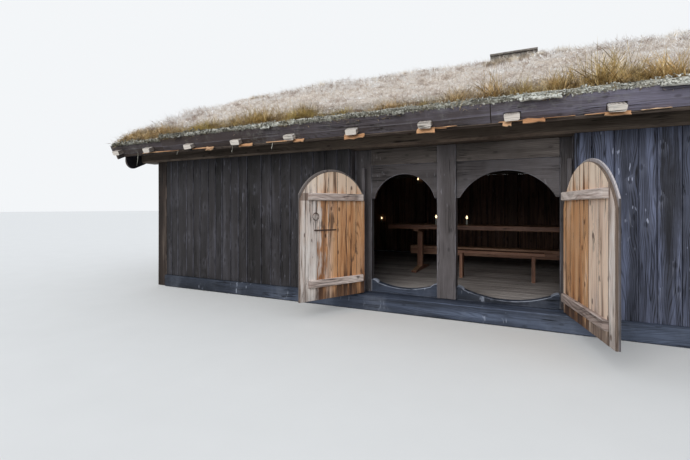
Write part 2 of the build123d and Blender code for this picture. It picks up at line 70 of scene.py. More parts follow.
X, Y, Z = Vector((1, 0, 0)), Vector((0, 1, 0)), Vector((0, 0, 1))

# Sizes that the solids share with the source, in metres
slope = radians(25)
eave_y = 3.15
eave_z = 2.42 - 0.45 * tan(slope)
deck = 0.03
turf_out = 0.235
turf_start = 0.03
turf_lip = 0.025
turf_brow = 0.18
ridge_radius = 0.5
half_length = 5.01
wall_half_depth = 2.7
wall_board = 0.055
eave_board_top = deck + 0.22
peg_places = [-5.34] + [-0.13 + 0.894 * (i - 5) for i in range(11)] + [5.34]
peg_in, peg_out = 0.42, 0.085
plate_over, plate_width, plate_under = 0.02, 0.31, 2.15
sides = ("front", -1), ("back", 1)

# Sizes that only the looks need
rings_per_metre = 55
map_width = 60
board_lap, lap_play, joint_gap, wide_gap, board_play = 0.015, 0.001, 0.0015, 0.006, 0.0006
wane_height, wane_half = 0.088, 0.006
bench_leg, leg_set_back = 0.05, 0.025
leaf_joint, leaf_unevenness = 0.0012, 0.0015
strip_end, low_board_end, low_board_drop = 5.44, 4.29, 0.045
turf_pitch, turf_steps = 0.07, 150
tufts_per_metre, loose_tufts, tallest_blade = 95, 170, 0.21


def roof_point(side, up, out):
    """A place on a slope of the roof: up from the eave, and out from the deck's underside."""
    y = side * (eave_y - up * cos(slope) + out * sin(slope))
    return Vector((0, y, eave_z + up * sin(slope) + out * cos(slope)))


def slope_axes(side):
    """Down the slope and out of it, at the front (-1) or the back (1)."""
    return Vector((0, side * cos(slope), -sin(slope))), Vector((0, side * sin(slope), cos(slope)))


def under_deck(y):
    """Height of the deck's underside across the house."""
    return eave_z + (eave_y - abs(y)) * tan(slope)


def held(value, low=0.0, high=1.0):
    return min(high, max(low, value))


# Node trees

class Signal:
    """A node's output. Sums and products of signals place the nodes that work them out."""

    def __init__(self, maker, socket):
        self.maker, self.socket = maker, socket

    def __add__(self, other):
        return self.maker.math("ADD", self, other)

    def __sub__(self, other):
        return self.maker.math("SUBTRACT", self, other)

    def __rsub__(self, other):
        return self.maker.math("SUBTRACT", other, self)

    def __mul__(self, other):
        return self.maker.math("MULTIPLY", self, other)


class Maker:
    """Places nodes in one tree. Each input is given as a plain value or as a signal."""

    def __init__(self, tree):
        self.tree = tree

    def node(self, kind, inputs=(), **settings):
        made = self.tree.nodes.new(kind)
        for key, value in settings.items():
            setattr(made, key, value)
        for key, value in dict(inputs).items():
            socket = made.inputs[key]
            if isinstance(value, Signal):
                self.tree.links.new(value.socket, socket)
            else:
                socket.default_value = (*value, 1) if socket.type == "RGBA" else value
        return made

    def out(self, kind, inputs=(), key=0, **settings):
        """One output of a new node."""
        return Signal(self, self.node(kind, inputs, **settings).outputs[key])

    def outs(self, kind, inputs=(), **settings):
        """All outputs of a new node by name."""
        return {s.name: Signal(self, s) for s in self.node(kind, inputs, **settings).outputs}

    def axes(self, place):
        return self.outs("ShaderNodeSeparateXYZ", {0: place}).values()

    def channels(self, colour):
        return self.outs("ShaderNodeSeparateColor", {0: colour}).values()

    def attribute(self, name, key="Fac"):
        return self.out("ShaderNodeAttribute", (), key, attribute_name=name)

    def math(self, operation, a, b=0.0):
        return self.out("ShaderNodeMath", {0: a, 1: b}, operation=operation)

    def mix(self, factor, a, b, blend="MIX"):
        return self.out("ShaderNodeMix", {0: factor, 6: a, 7: b}, 2, data_type="RGBA", blend_type=blend)

    def coats(self, colour, *layers):
        """Lays colours over one another, each where its mask says. An empty layer is left out."""
        for layer in layers:
            if layer:
                colour = self.mix(layer[0], colour, layer[1])
        return colour

    def span(self, value, low, high, to_low=0.0, to_high=1.0):
        return self.out("ShaderNodeMapRange", {0: value, 1: low, 2: high, 3: to_low, 4: to_high})

    def fall(self, value, low, high):
        """One below low, and nothing above high."""
        return self.span(value, low, high, 1.0, 0.0)

    def stretch(self, place, by):
        return self.out("ShaderNodeVectorMath", {0: place, 1: by}, operation="MULTIPLY")

    def cloud(self, place, by, detail=3.0, roughness=0.55):
        """Soft noise. by is how many lumps go to a metre, one number or one for each axis."""
        by = by if isinstance(by, tuple) else (by, by, by)
        return self.out("ShaderNodeTexNoise", {
            "Vector": self.stretch(place, by), "Scale": 1.0, "Detail": detail, "Roughness": roughness})

    def ramp(self, value, stops):
        made = self.node("ShaderNodeValToRGB", {0: value})
        elements = made.color_ramp.elements
        while len(elements) < len(stops):
            elements.new(0.5)
        for element, (place, colour) in zip(elements, stops):
            element.position = place
            element.color = (*colour, 1)
        return Signal(self, made.outputs[0])


def effect(name, build):
    """A shader node group that turns a place into the values that build gives by name."""
    tree = bpy.data.node_groups.new(name, "ShaderNodeTree")
    tree.interface.new_socket(name="Place", in_out="INPUT", socket_type="NodeSocketVector")
    m = Maker(tree)
    values = build(m, m.out("NodeGroupInput"))
    for key in values:
        tree.interface.new_socket(name=key, in_out="OUTPUT", socket_type="NodeSocketFloat")
    m.node("NodeGroupOutput", values)
    return tree


def grain_figure(m, place):
    """Streaks, fibres, growth lines, knots and drying cracks, on a place whose X runs with the grain."""
    streaks = m.span(m.cloud(place, (0.7, 13, 1), 4), 0.3, 0.7)
    broad = m.span(m.cloud(place, (0.35, 4, 1), 2), 0.32, 0.68)
    fibres = m.span(m.cloud(place, (5, 170, 1), 3, 0.6), 0.28, 0.72)
    _, across, _ = m.axes(place)
    across = across + m.cloud(place, (0.6, 3.4, 1), 2) * 0.34
    rings = m.span(m.math("SINE", across * (2 * pi * rings_per_metre)), 0.1, 1.0)
    cells = m.outs("ShaderNodeTexVoronoi", {
        "Vector": m.stretch(place, (3.4, 6.5, 1)), "Scale": 1.0}, voronoi_dimensions="2D")
    from_knot = cells["Distance"]
    lot, _, _ = m.channels(cells["Color"])
    chosen = m.math("GREATER_THAN", lot, 0.66)
    round_knot = m.span(from_knot, 0.09, 0.15) * m.fall(from_knot, 0.18, 0.42)
    crack_line = m.math("ABSOLUTE", m.cloud(place, (0.8, 26, 1), 2) - 0.5)
    crack_where = m.span(m.cloud(place, (1.7, 5, 1), 1), 0.52, 0.6)
    return {"Streaks": streaks, "Broad": broad, "Fibres": fibres, "Rings": rings,
            "Knots": m.fall(from_knot, 0.06, 0.12) * chosen, "Halo": round_knot * chosen * (rings * streaks),
            "Cracks": m.fall(crack_line, 0.006, 0.018) * crack_where}


def weathering(m, place):
    """Where damp darkens, where light bleaches, and where crusty lichen sits, on object coordinates."""
    return {
        "Damp": m.span(m.cloud(place, (0.9, 0.9, 0.7), 5, 0.6), 0.42, 0.66),
        "Bleach": m.span(m.cloud(place, (2.3, 2.3, 1.1), 5, 0.65), 0.5, 0.68),
        "Lichen": m.span(m.cloud(place, 23, 4, 0.7), 0.5, 0.58) * m.span(m.cloud(place, 2.9, 3, 0.6), 0.46, 0.6),
        "Flecks": (m.span(m.cloud(place, (26, 26, 7), 2), 0.64, 0.7)
                   * m.span(m.cloud(place, (1.7, 1.7, 1.3), 2), 0.5, 0.6))}


grain_group = effect("Grain figure", grain_figure)
weather_group = effect("Weathering", weathering)


def new_material(name):
    """A material without nodes, its maker, and the place on the object."""
    material = bpy.data.materials.new(name)
    material.use_nodes = True
    material.node_tree.nodes.clear()
    m = Maker(material.node_tree)
    return material, m, m.out("ShaderNodeTexCoord", (), "Object")


def close_material(m, colour, roughness, height, strength, distance, **more):
    """The shader itself, with a bump, and more values for its own sockets."""
    bump = m.out("ShaderNodeBump", {"Height": height, "Strength": strength, "Distance": distance})
    more = {key.replace("_", " "): value for key, value in more.items()}
    shader = m.out("ShaderNodeBsdfPrincipled", {
        "Base Color": colour, "Roughness": roughness, "Normal": bump, **more})
    m.node("ShaderNodeOutputMaterial", {0: shader})


def shade(colour, by):
    return [c * by for c in colour]


def wood(name, deep, base, pale, worn, end, roughness, bump, spread, knot, ring, wear, *, bleach=0.25, damp=0.45,
         contrast=1.0, shine=0.4, light_ring=0.0, halo=0.0, flecks=0.0, stain=None, lichen=0.0,
         lichen_colour=(0.42, 0.44, 0.38)):
    """Timber along its own grain map: tone from the marks, worn arrises that also carry a painted highlight, paler
    end grain.

    The five colours go from its darkest lines to its light ones, then worn wood, which also paints the arrises'
    highlight, and end grain."""
    material, m, solid = new_material(name)
    place = m.out("ShaderNodeUVMap", uv_map="grain")
    tone, arris, is_end = m.channels(m.attribute("marks", "Color"))
    figure = m.outs("ShaderNodeGroup", {"Place": place}, node_tree=grain_group)
    weather = m.outs("ShaderNodeGroup", {"Place": solid}, node_tree=weather_group)
    streaks, broad, fibres, rings, knots, around_knots, cracks = figure.values()
    level = (streaks * 0.4 + fibres * 0.28 + broad * 0.24 - 0.46) * contrast + (tone - 0.5) * (spread * 2) + 0.5
    colour = m.coats(
        m.ramp(level, [(0.0, deep), (0.5, base), (1.0, pale)]),
        (rings * ring, deep),
        light_ring and (m.span(rings, 0.1, 0.9, light_ring, 0.0) * broad, pale),
        (weather["Bleach"] * bleach, worn),
        (weather["Damp"] * damp, deep))
    if stain:
        colour = stain(m, colour, solid, figure, tone)
    colour = m.coats(
        colour,
        (knots * knot, shade(deep, 0.45)),
        halo and (around_knots * halo, shade(worn, 1.4)),
        # Worn arrises: wear along the edges, and a painted highlight where they catch the light.
        (arris * m.span(m.cloud(solid, 5), 0.38, 0.6, 0.2, 1.0) * wear, worn),
        (is_end * 0.96, m.mix(rings * 0.6, end, shade(end, 0.5))),
        (cracks * 0.9, shade(deep, 0.2)),
        flecks and (weather["Flecks"] * flecks, shade(worn, 2.2)),
        lichen and (weather["Lichen"] * lichen, lichen_colour))
    height = fibres * 0.5 + streaks * 0.6 - cracks * 1.6 - rings * 0.2
    if lichen:
        height = height + weather["Lichen"] * lichen
    rough = m.span(fibres, 0.0, 1.0, roughness - 0.1, roughness + 0.08)
    close_material(m, colour, rough, height, bump, 0.003, Specular_IOR_Level=shine)
    return material


def door_stain(m, colour, solid, figure, tone):
    """Silvered planks, rusty and black streaks that run down, a bleached head and a foot dark with splashes.

    The left door lies below x -1, and the right one above x 1."""
    x, y, z = m.axes(solid)
    streaks, broad, fibres, rings = (figure[key] for key in ("Streaks", "Broad", "Fibres", "Rings"))
    tone = tone + (m.cloud(solid, (5, 5, 1.3), 3, 0.6) - 0.5) * 0.5
    brown = m.fall(tone, 0.74, 0.88)
    rust = m.span(broad, 0.5, 0.9) * m.span(streaks, 0.35, 0.7)
    mixed = streaks * 0.6 + fibres * 0.4 - rings * 0.12
    silver = m.ramp(mixed, [(0.08, (0.2, 0.14, 0.11)), (0.3, (0.58, 0.48, 0.43)), (0.62, (0.96, 0.9, 0.86))])
    patchy = m.span(m.cloud(solid, (3, 3, 1.6)), 0.4, 0.6, 0.8, 1.0)
    worn_through = m.span(y, -3.26, -3.08, 0.8, 0.0) * m.span(x, -1.0, -1.1)
    ragged_edge = m.cloud(solid, (7, 7, 2.2), 3, 0.6) + streaks * 0.25
    warm = m.span(tone, 0.64, 0.76) * brown * m.span(streaks, 0.1, 0.5, 0.6, 1.0)
    black = m.fall(streaks, 0.08, 0.34) * m.span(broad, 0.1, 0.45)
    blotch = (m.span(m.cloud(solid, (14, 14, 5), 3, 0.65), 0.58, 0.66)
              * m.span(m.cloud(solid, (2.2, 2.2, 1.2), 2), 0.5, 0.58))
    height = z + (streaks - 0.5) * 0.3
    head = m.span(height, 1.44, 1.64) * m.span(streaks, 0.15, 0.5, 0.2, 1.0) * m.span(x, -1.0, 1.0, 0.75, 0.95)
    band = m.span(z, 1.435, 1.442) * m.fall(z, 1.528, 1.535) * m.span(x, -1.0, -1.2)
    foot = m.fall(height, 0.3, 0.42) * m.span(brown, 0.0, 1.0, 0.45, 1.0) * m.span(x, -1.0, 1.0, 0.9, 1.0)
    return m.coats(
        colour,
        (rust * 0.6, (0.62, 0.24, 0.07)),
        (m.span(tone, 0.74, 0.88) * patchy, silver),
        (worn_through * m.span(ragged_edge, 0.6, 0.68), silver),
        (warm * 0.92, (1.0, 0.82, 0.68)),
        (black * 0.8, (0.07, 0.035, 0.022)),
        (blotch * 0.7, (0.1, 0.06, 0.045)),
        (head, (1.0, 0.82, 0.66)),
        (band * m.span(mixed, 0.1, 0.5, 0.95, 0.7), (0.2, 0.13, 0.1)),
        (foot * m.span(streaks, 0.25, 0.9, 0.98, 0.65), (0.07, 0.04, 0.03)))


def bare_inside(m, colour, solid, figure, tone):
    """Bare brown boards on the room's side of the back wall."""
    inner_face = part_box("wall_back")[0].y
    _, depth, _ = m.axes(solid)
    bare = m.ramp(figure["Streaks"], [(0.2, (0.06, 0.032, 0.022)), (0.8, (0.22, 0.12, 0.085))])
    return m.mix(m.fall(depth, inner_face + 0.004, inner_face + 0.01), colour, bare)


# Woods: deep, base, pale, worn and end colours, then how rough and bumpy they are, how far the boards' tones lie
# apart, and how much shows of knots, rings and worn arrises, which carry a painted highlight as well

tarred = ((0.007, 0.006, 0.006), (0.022, 0.019, 0.02), (0.062, 0.06, 0.07), (0.17, 0.17, 0.21), (0.1, 0.08, 0.07),
          0.6, 0.9, 0.4, 0.4, 0.3, 0.6)
tarred_marks = dict(bleach=0.1, flecks=0.2, contrast=1.5, light_ring=0.4, shine=0.2, halo=0.35)
facing = (0.02, 0.016, 0.015), (0.05, 0.042, 0.04), (0.1, 0.09, 0.095)
tarred_board = wood("tarred boards", *tarred, **tarred_marks)
back_board = wood("tarred boards, bare inside", *tarred, **tarred_marks, stain=bare_inside)
# Black tarred boards whose blue-grey pale tones, light rings and worn arrises are painted sky sheen.
sky_sheen_board = wood("blue-grey boards", (0.01, 0.01, 0.013), (0.036, 0.038, 0.052), (0.19, 0.22, 0.34),
                  (0.24, 0.26, 0.34), (0.1, 0.08, 0.07), 0.6, 1.0, 0.4, 0.35, 0.3, 0.3, bleach=0.12,
                  flecks=0.8, contrast=2.0, light_ring=0.75, shine=0.2, halo=0.8)
tarred_timber = wood("tarred timber", (0.01, 0.008, 0.008), (0.028, 0.025, 0.027), (0.07, 0.078, 0.11),
                     (0.17, 0.17, 0.2), (0.16, 0.12, 0.1), 0.6, 0.8, 0.4, 0.5, 0.3, 0.85, bleach=0.15,
                     flecks=0.3, light_ring=0.2, shine=0.25)
# Dark tarred timber whose blue-grey pale tones are painted sky sheen.
sky_sheen_timber = wood("blue-grey timber", (0.014, 0.017, 0.025), (0.045, 0.057, 0.088), (0.14, 0.175, 0.26),
                   (0.3, 0.33, 0.4), (0.14, 0.13, 0.14), 0.6, 0.8, 0.45, 0.4, 0.3, 0.9, bleach=0.15,
                   flecks=0.4, contrast=1.3, light_ring=0.2, shine=0.2)
brown_timber = wood("brown timber", (0.01, 0.006, 0.005), (0.036, 0.025, 0.02), (0.23, 0.185, 0.155),
                    (0.22, 0.17, 0.14), (0.16, 0.12, 0.1), 0.7, 0.8, 0.4, 0.5, 0.3, 0.9, bleach=0.15,
                    contrast=1.3, shine=0.2)
lintel_timber = wood("lintel timber", (0.022, 0.017, 0.015), (0.085, 0.073, 0.067), (0.25, 0.218, 0.205),
                     (0.24, 0.22, 0.22), (0.2, 0.15, 0.12), 0.66, 0.8, 0.4, 0.4, 0.25, 0.8, bleach=0.2,
                     flecks=0.2, contrast=1.5, light_ring=0.3, shine=0.25)
weathered_timber = wood("weathered timber", (0.022, 0.018, 0.018), (0.075, 0.066, 0.068), (0.17, 0.155, 0.165),
                        (0.26, 0.26, 0.3), (0.2, 0.15, 0.12), 0.66, 0.8, 0.4, 0.5, 0.25, 0.95, bleach=0.15,
                        flecks=0.3, contrast=1.3, light_ring=0.25, shine=0.3)
# Its bluish pale tone, with the fade below that turns the eave boards paler and bluer to the right, is painted sky
# sheen.
eave_timber = wood("eave timber", (0.04, 0.027, 0.021), (0.088, 0.076, 0.085), (0.28, 0.27, 0.37),
                   (0.25, 0.24, 0.27), (0.42, 0.38, 0.34), 0.62, 0.9, 0.42, 0.4, 0.2, 0.45, lichen=0.12,
                   bleach=0.15, flecks=0.05, contrast=1.1, light_ring=0.2, shine=0.25)
peg_wood = wood("peg wood", (0.16, 0.12, 0.1), (0.5, 0.45, 0.41), (0.8, 0.77, 0.74), (0.8, 0.79, 0.77),
                (0.86, 0.8, 0.74), 0.85, 1.0, 0.25, 0.3, 0.3, 0.6, lichen=0.6, lichen_colour=(0.66, 0.67, 0.64),
                contrast=1.3)
# Its dark end colour on every plank edge is weathered wood and painted shade in the gap between the planks and the
# facing.
door_pine = wood("door pine", (0.15, 0.05, 0.02), (0.7, 0.32, 0.13), (0.97, 0.62, 0.36), (0.86, 0.68, 0.54),
                 (0.12, 0.085, 0.065), 0.72, 1.0, 0.5, 0.8, 0.55, 0.4, bleach=0.15, stain=door_stain,
                 contrast=2.4, light_ring=0.3, shine=0.3, damp=0.15)
batten_pine = wood("batten pine", (0.09, 0.06, 0.05), (0.5, 0.38, 0.335), (0.97, 0.86, 0.8), (0.75, 0.66, 0.62),
                   (0.14, 0.11, 0.1), 0.75, 1.0, 0.45, 0.7, 0.3, 0.6, bleach=0.15, contrast=2.2,
                   light_ring=0.2, shine=0.3, damp=0.3)
door_facing = wood("door facing", *facing, (0.34, 0.32, 0.35), (0.5, 0.46, 0.47), 0.66, 0.7, 0.4, 0.5, 0.3, 0.8,
                   bleach=0.2)
# A copy of the door facing with darker worn and end colours: painted shade on the left leaf's facing edges.
shaded_edge_facing = wood("door facing, dark edge", *facing, (0.2, 0.18, 0.19), (0.22, 0.19, 0.18),
                   0.66, 0.7, 0.4, 0.5, 0.3, 0.8, bleach=0.2)
inner_timber = wood("inner timber", (0.04, 0.02, 0.014), (0.12, 0.066, 0.047), (0.22, 0.13, 0.09),
                    (0.16, 0.1, 0.07), (0.2, 0.13, 0.09), 0.7, 0.6, 0.3, 0.5, 0.3, 0.4)
floor_wood = wood("floor boards", (0.12, 0.1, 0.095), (0.35, 0.32, 0.31), (0.52, 0.48, 0.46),
                  (0.4, 0.36, 0.33), (0.3, 0.24, 0.18), 0.7, 0.5, 0.35, 0.4, 0.25, 0.4)
furniture_wood = wood("furniture pine", (0.06, 0.02, 0.01), (0.2, 0.085, 0.05), (0.42, 0.24, 0.15),
                      (0.5, 0.3, 0.2), (0.4, 0.25, 0.15), 0.5, 0.4, 0.4, 0.6, 0.3, 0.7, contrast=1.2)
vent_wood = wood("vent wood", (0.06, 0.052, 0.05), (0.16, 0.14, 0.125), (0.3, 0.27, 0.25), (0.36, 0.33, 0.31),
                 (0.3, 0.27, 0.24), 0.8, 0.9, 0.3, 0.4, 0.2, 0.7, lichen=0.35)
bark = wood("birch bark", (0.07, 0.065, 0.045), (0.33, 0.32, 0.27), (0.88, 0.89, 0.84), (0.7, 0.7, 0.66),
            (0.4, 0.34, 0.27), 0.85, 1.0, 0.6, 0.3, 0.15, 0.4, lichen=0.6, lichen_colour=(0.74, 0.78, 0.72),
            contrast=1.5)
inner_bark = wood("inner bark", (0.25, 0.1, 0.04), (0.66, 0.36, 0.18), (0.85, 0.62, 0.4), (0.7, 0.52, 0.36),
                  (0.5, 0.3, 0.16), 0.75, 0.7, 0.4, 0.3, 0.2, 0.5, lichen=0.15)


def iron():
    """Forged iron, black with brown rust."""
    material, m, solid = new_material("wrought iron")
    rust = m.span(m.cloud(solid, 60, 4, 0.7), 0.42, 0.62)
    fine = m.cloud(solid, 210, 3, 0.6)
    colour = m.coats((0.05, 0.045, 0.045), (rust, (0.13, 0.06, 0.035)),
                     (m.span(fine, 0.55, 0.7, 0.0, 0.35), (0.2, 0.11, 0.06)))
    rough = m.span(rust, 0.0, 1.0, 0.5, 0.85)
    close_material(m, colour, rough, rust * 0.6 + fine * 0.6, 0.6, 0.001, Metallic=0.35)
    return material


def soil():
    """Sod between the grass: dark peat, brown litter and green moss, paler litter above the eave."""
    material, m, solid = new_material("sod")
    fine = m.cloud(solid, 34, 5, 0.7)
    patch = m.cloud(solid, 2.6, 4, 0.6)
    _, y, _ = m.axes(solid)
    from_eave = eave_y - m.math("ABSOLUTE", y)
    peat, litter = (m.ramp(fine, list(zip((0.3, 0.52, 0.75), colours))) for colours in (
        ((0.04, 0.028, 0.02), (0.13, 0.095, 0.06), (0.28, 0.21, 0.14)),
        ((0.3, 0.24, 0.2), (0.6, 0.53, 0.46), (0.8, 0.75, 0.7))))
    colour = m.coats(peat, (m.span(patch, 0.56, 0.66, 0.0, 0.5), (0.16, 0.17, 0.06)),
                     (m.span(from_eave + patch * 0.6, 0.6, 1.2), litter))
    close_material(m, colour, 0.95, fine, 1.0, 0.02, Specular_IOR_Level=0.1)
    return material


def grass(name, near, far, litter, frost, painted_gap_shade, tinted=False):
    """Dead and frosted grass. tone is each tuft's own, blade each blade's, tip its height on the blade.

    near are its colours at the eave and far those higher up. Where it is tinted, each clump's own tint turns
    it olive or orange."""
    material, m, solid = new_material(name)
    x, y, _ = m.axes(solid)
    tone, blade, tip = (m.attribute(key) for key in ("tone", "blade", "tip"))
    from_eave = eave_y + 0.1 - m.math("ABSOLUTE", y)
    uneven = (m.cloud(solid, 1.3, 4, 0.6) - 0.5) * 1.5
    clumps = m.cloud(solid, 11, 3, 0.6) * 0.55 + m.cloud(solid, 3.4, 3, 0.6) * 0.45
    higher = m.span(from_eave + uneven - m.span(x, -4.0, 2.0, 0.0, 0.25), 0.16, 0.62)
    mixed = tone * 0.6 + blade * 0.4
    low = m.ramp(mixed, near)
    if tinted:
        bleached = m.span(tip, 0.1, 0.9) * m.span(x, -1.5, 2.5, 0.15, 0.85)
        tints = m.ramp(m.attribute("tint"), [
            (0.0, (0.8, 0.9, 0.5)), (0.5, (1.0, 0.96, 0.76)), (1.0, (1.0, 0.82, 0.56))])
        low = m.mix(1.0, m.mix(bleached, low, (0.92, 0.82, 0.64)), tints, "MULTIPLY")
    gold = m.span(x, -4.9, -3.6, 0.6, 0.1) * m.span(tip, 0.1, 0.8)
    brown = m.span(m.cloud(solid, 2.1, 4, 0.65), 0.56, 0.66, 0.0, 0.7)
    white = m.span(tip, 0.1, 0.9) * m.span(m.cloud(solid, 0.8), 0.38, 0.6, 0.3, 0.85)
    colour = m.coats(
        m.mix(gold, low, (0.97, 0.78, 0.47)),
        (higher, m.ramp(mixed, far)),
        (brown * m.span(higher, 0.0, 1.0, 1.0, 0.45), litter),
        ((white + m.span(x, 0.0, 4.0, 0.05, 0.8)) * higher, frost),
        (m.span(clumps, 0.5, 0.56) * higher, frost),
        # Painted shade in the gaps between clumps, weaker towards the right.
        (m.span(clumps, 0.44, 0.49, 0.85, 0.0) * m.span(x, 1.5, 4.5, 1.0, 0.5), painted_gap_shade),
        (m.span(tip, 0.0, 0.35, 0.4, 0.0) * m.span(higher, 0.0, 1.0, 1.0, 0.2), (0.14, 0.1, 0.06)))
    close_material(m, colour, 0.8, m.cloud(solid, 90, 2), 0.3, 0.002, Specular_IOR_Level=0.2)
    return material


roof_grass = grass(
    "roof grass",
    [(0.0, (0.16, 0.14, 0.06)), (0.35, (0.36, 0.27, 0.13)), (0.7, (0.56, 0.42, 0.23)), (1.0, (0.76, 0.64, 0.45))],
    [(0.0, (0.82, 0.72, 0.61)), (0.35, (0.96, 0.91, 0.86)), (1.0, (0.99, 0.98, 0.96))],
    (0.45, 0.35, 0.31), (0.99, 0.99, 0.99), (0.4, 0.3, 0.25))
tussock_grass = grass(
    "tussock grass",
    [(0.0, (0.2, 0.155, 0.06)), (0.35, (0.46, 0.33, 0.14)), (0.7, (0.72, 0.53, 0.27)), (1.0, (0.9, 0.75, 0.5))],
    [(0.0, (0.55, 0.45, 0.33)), (0.5, (0.82, 0.71, 0.56)), (1.0, (0.95, 0.88, 0.77))],
    (0.3, 0.2, 0.12), (0.9, 0.82, 0.7), (0.16, 0.11, 0.055), True)
sod = soil()
wrought_iron = iron()


# Meshes and pieces

def plain_mesh(name, points, faces, **values):
    """A mesh from points and faces, with values on its points."""
    mesh = bpy.data.meshes.new(name)
    mesh.from_pydata([tuple(p) for p in points], [], faces)
    for key, row in values.items():
        mesh.attributes.new(key, "FLOAT", "POINT").data.foreach_set("value", row)
    return mesh


def placed(name, data):
    """An object in the scene."""
    made = bpy.data.objects.new(name, data)
    bpy.context.scene.collection.objects.link(made)
    return made


def settle(name, mesh, replaced=(), body="house"):
    piece = placed(name, mesh)
    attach(piece, body)
    if replaced:
        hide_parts(*replaced)


def finish(name, mesh, places, marks, material, replaced, body):
    """Gives a mesh its grain map in metres, its marks (tone, arris, end) and its material."""
    mesh.uv_layers.new(name="grain").data.foreach_set("uv", np.array(places, "f").ravel())
    layer = mesh.attributes.new("marks", "FLOAT_COLOR", "CORNER")
    layer.data.foreach_set("color", np.array(marks, "f").ravel())
    mesh.materials.append(material)
    settle(name, mesh, replaced, body)


def quads(rows, size, closed=True):
    """Faces between rows of points, each with its row and its place in the row."""
    for k in range(rows):
        for i in range(size if closed else size - 1):
            j = (i + 1) % size
            yield k, i, (k * size + i, k * size + j, (k + 1) * size + j, (k + 1) * size + i)


class Heap:
    """Solids gathered into one piece."""

    def __init__(self, name, seed):
        self.name = name
        self.points, self.faces, self.places, self.marks = [], [], [], []
        self.chance = random.Random(seed)
        self.draw = self.chance.uniform

    def shift(self):
        """Where a solid starts on the grain map, so that no two look alike."""
        return self.draw(0, map_width), self.draw(0, map_width)

    def add(self, points, faces):
        """faces lists each face's corners, their places on the grain map, and its mark."""
        base = len(self.points)
        self.points.extend(points)
        for corners, places, mark in faces:
            self.faces.append([base + c for c in corners])
            self.places.extend(places)
            self.marks.extend([(*mark, 1.0)] * len(corners))

    def piece(self, material, slot, replaced=(), body="house"):
        mesh = plain_mesh(self.name, self.points, self.faces)
        finish(self.name, mesh, self.places, self.marks, material, replaced, body)


def sweep(heap, origin, along, out, section, length, tone, hewn=0.003, step=0.35, arrises=(), reach=None,
          swell=None, wander=2.1):
    """A timber: a section, counted anticlockwise with out upwards, drawn along a line, hewn uneven inwards."""
    across = out.cross(along)
    count = max(1, round(length / step))
    size = len(section)
    middle = (sum(p[0] for p in section) / size, sum(p[1] for p in section) / size)
    u, v = heap.shift()
    run = [0]
    for a, b in zip(section, section[1:] + section[:1]):
        run.append(run[-1] + sqrt((b[0] - a[0]) ** 2 + (b[1] - a[1]) ** 2))
    points = []
    for k in range(count + 1):
        for b, c in section:
            foot = origin + across * b + out * c
            far = reach(foot) if reach else length
            spot = foot + along * far * k / count
            if swell:
                spot = spot + (across * b + out * c) * swell(k / count)
            ragged = 0.5 + 0.5 * noise.noise(spot * wander + Vector((u, 0, v)))
            inward = across * (middle[0] - b) + out * (middle[1] - c)
            points.append(spot + inward.normalized() * hewn * ragged)
    faces = []
    for k, i, corners in quads(count, size):
        u0, u1, v0, v1 = u + length * k / count, u + length * (k + 1) / count, v + run[i], v + run[i + 1]
        faces.append((corners, ((u0, v0), (u0, v1), (u1, v1), (u1, v0)), (tone, float(i in arrises), 0)))
    cap = [(u + b, v + c) for b, c in section]
    start = list(range(size))
    faces.append((start[::-1], cap[::-1], (tone, 0, 1)))
    faces.append(([count * size + i for i in start], cap, (tone, 0, 1)))
    heap.add(points, faces)


def squared(width, depth, arris):
    """A rectangle below zero with its four corners taken off, and which of its sides are arrises."""
    w = width / 2
    return ([(-w + arris, -depth), (w - arris, -depth), (w, -depth + arris), (w, -arris), (w - arris, 0),
             (-w + arris, 0), (-w, -arris), (-w, -depth + arris)], (1, 3, 5, 7))


def board(heap, origin, along, out, width, depth, arris, length, tone, hewn, step):
    """A squared board, drawn along a line from the middle of its outer face's edge."""
    section, arrises = squared(width, depth, arris)
    sweep(heap, Vector(origin), along, out, section, length, tone, hewn, step, arrises)


def slab(heap, origin, right, up, outline, thickness, tone, arris, raw_above):
    """A board cut to an outline, seen from its face: counted anticlockwise, arrises off the face's edge.

    Its back and its edges above raw_above show the end colour: bare weathered wood, and on the inner door planks also
    painted shade along the edges."""
    face_out = right.cross(up)
    u, v = heap.shift()
    size = len(outline)
    inner = []
    for i in range(size):
        before, here, after = outline[i - 1], outline[i], outline[(i + 1) % size]
        first = Vector((here[0] - before[0], here[1] - before[1])).normalized()
        second = Vector((after[0] - here[0], after[1] - here[1])).normalized()
        n1, n2 = Vector((-first.y, first.x)), Vector((-second.y, second.x))
        inner.append(Vector(here) + (n1 + n2) / max(0.4, 1 + n1.dot(n2)) * arris)
    rings = ((inner, 0), (outline, arris), (outline, thickness - arris), (inner, thickness))
    points = [origin + right * p[0] + up * p[1] - face_out * d for ring, d in rings for p in ring]

    def place(p, d):
        return (u + p[1], v + p[0] + d)

    faces = [(range(size), [place(p, 0) for p in inner], (tone, 0, 0)),
             ([3 * size + i for i in range(size)][::-1], [place(p, 1) for p in inner][::-1], (tone, 0, 1.0))]
    for k, i, (a, b, c, d) in quads(3, size):
        j = (i + 1) % size
        (near, d0), (far, d1) = rings[k], rings[k + 1]
        raw = min(outline[i][1], outline[j][1]) > raw_above
        faces.append(((d, c, b, a), (place(far[i], d1), place(far[j], d1), place(near[j], d0), place(near[i], d0)),
                      (tone, float(k != 1), float(raw))))
    heap.add(points, faces)


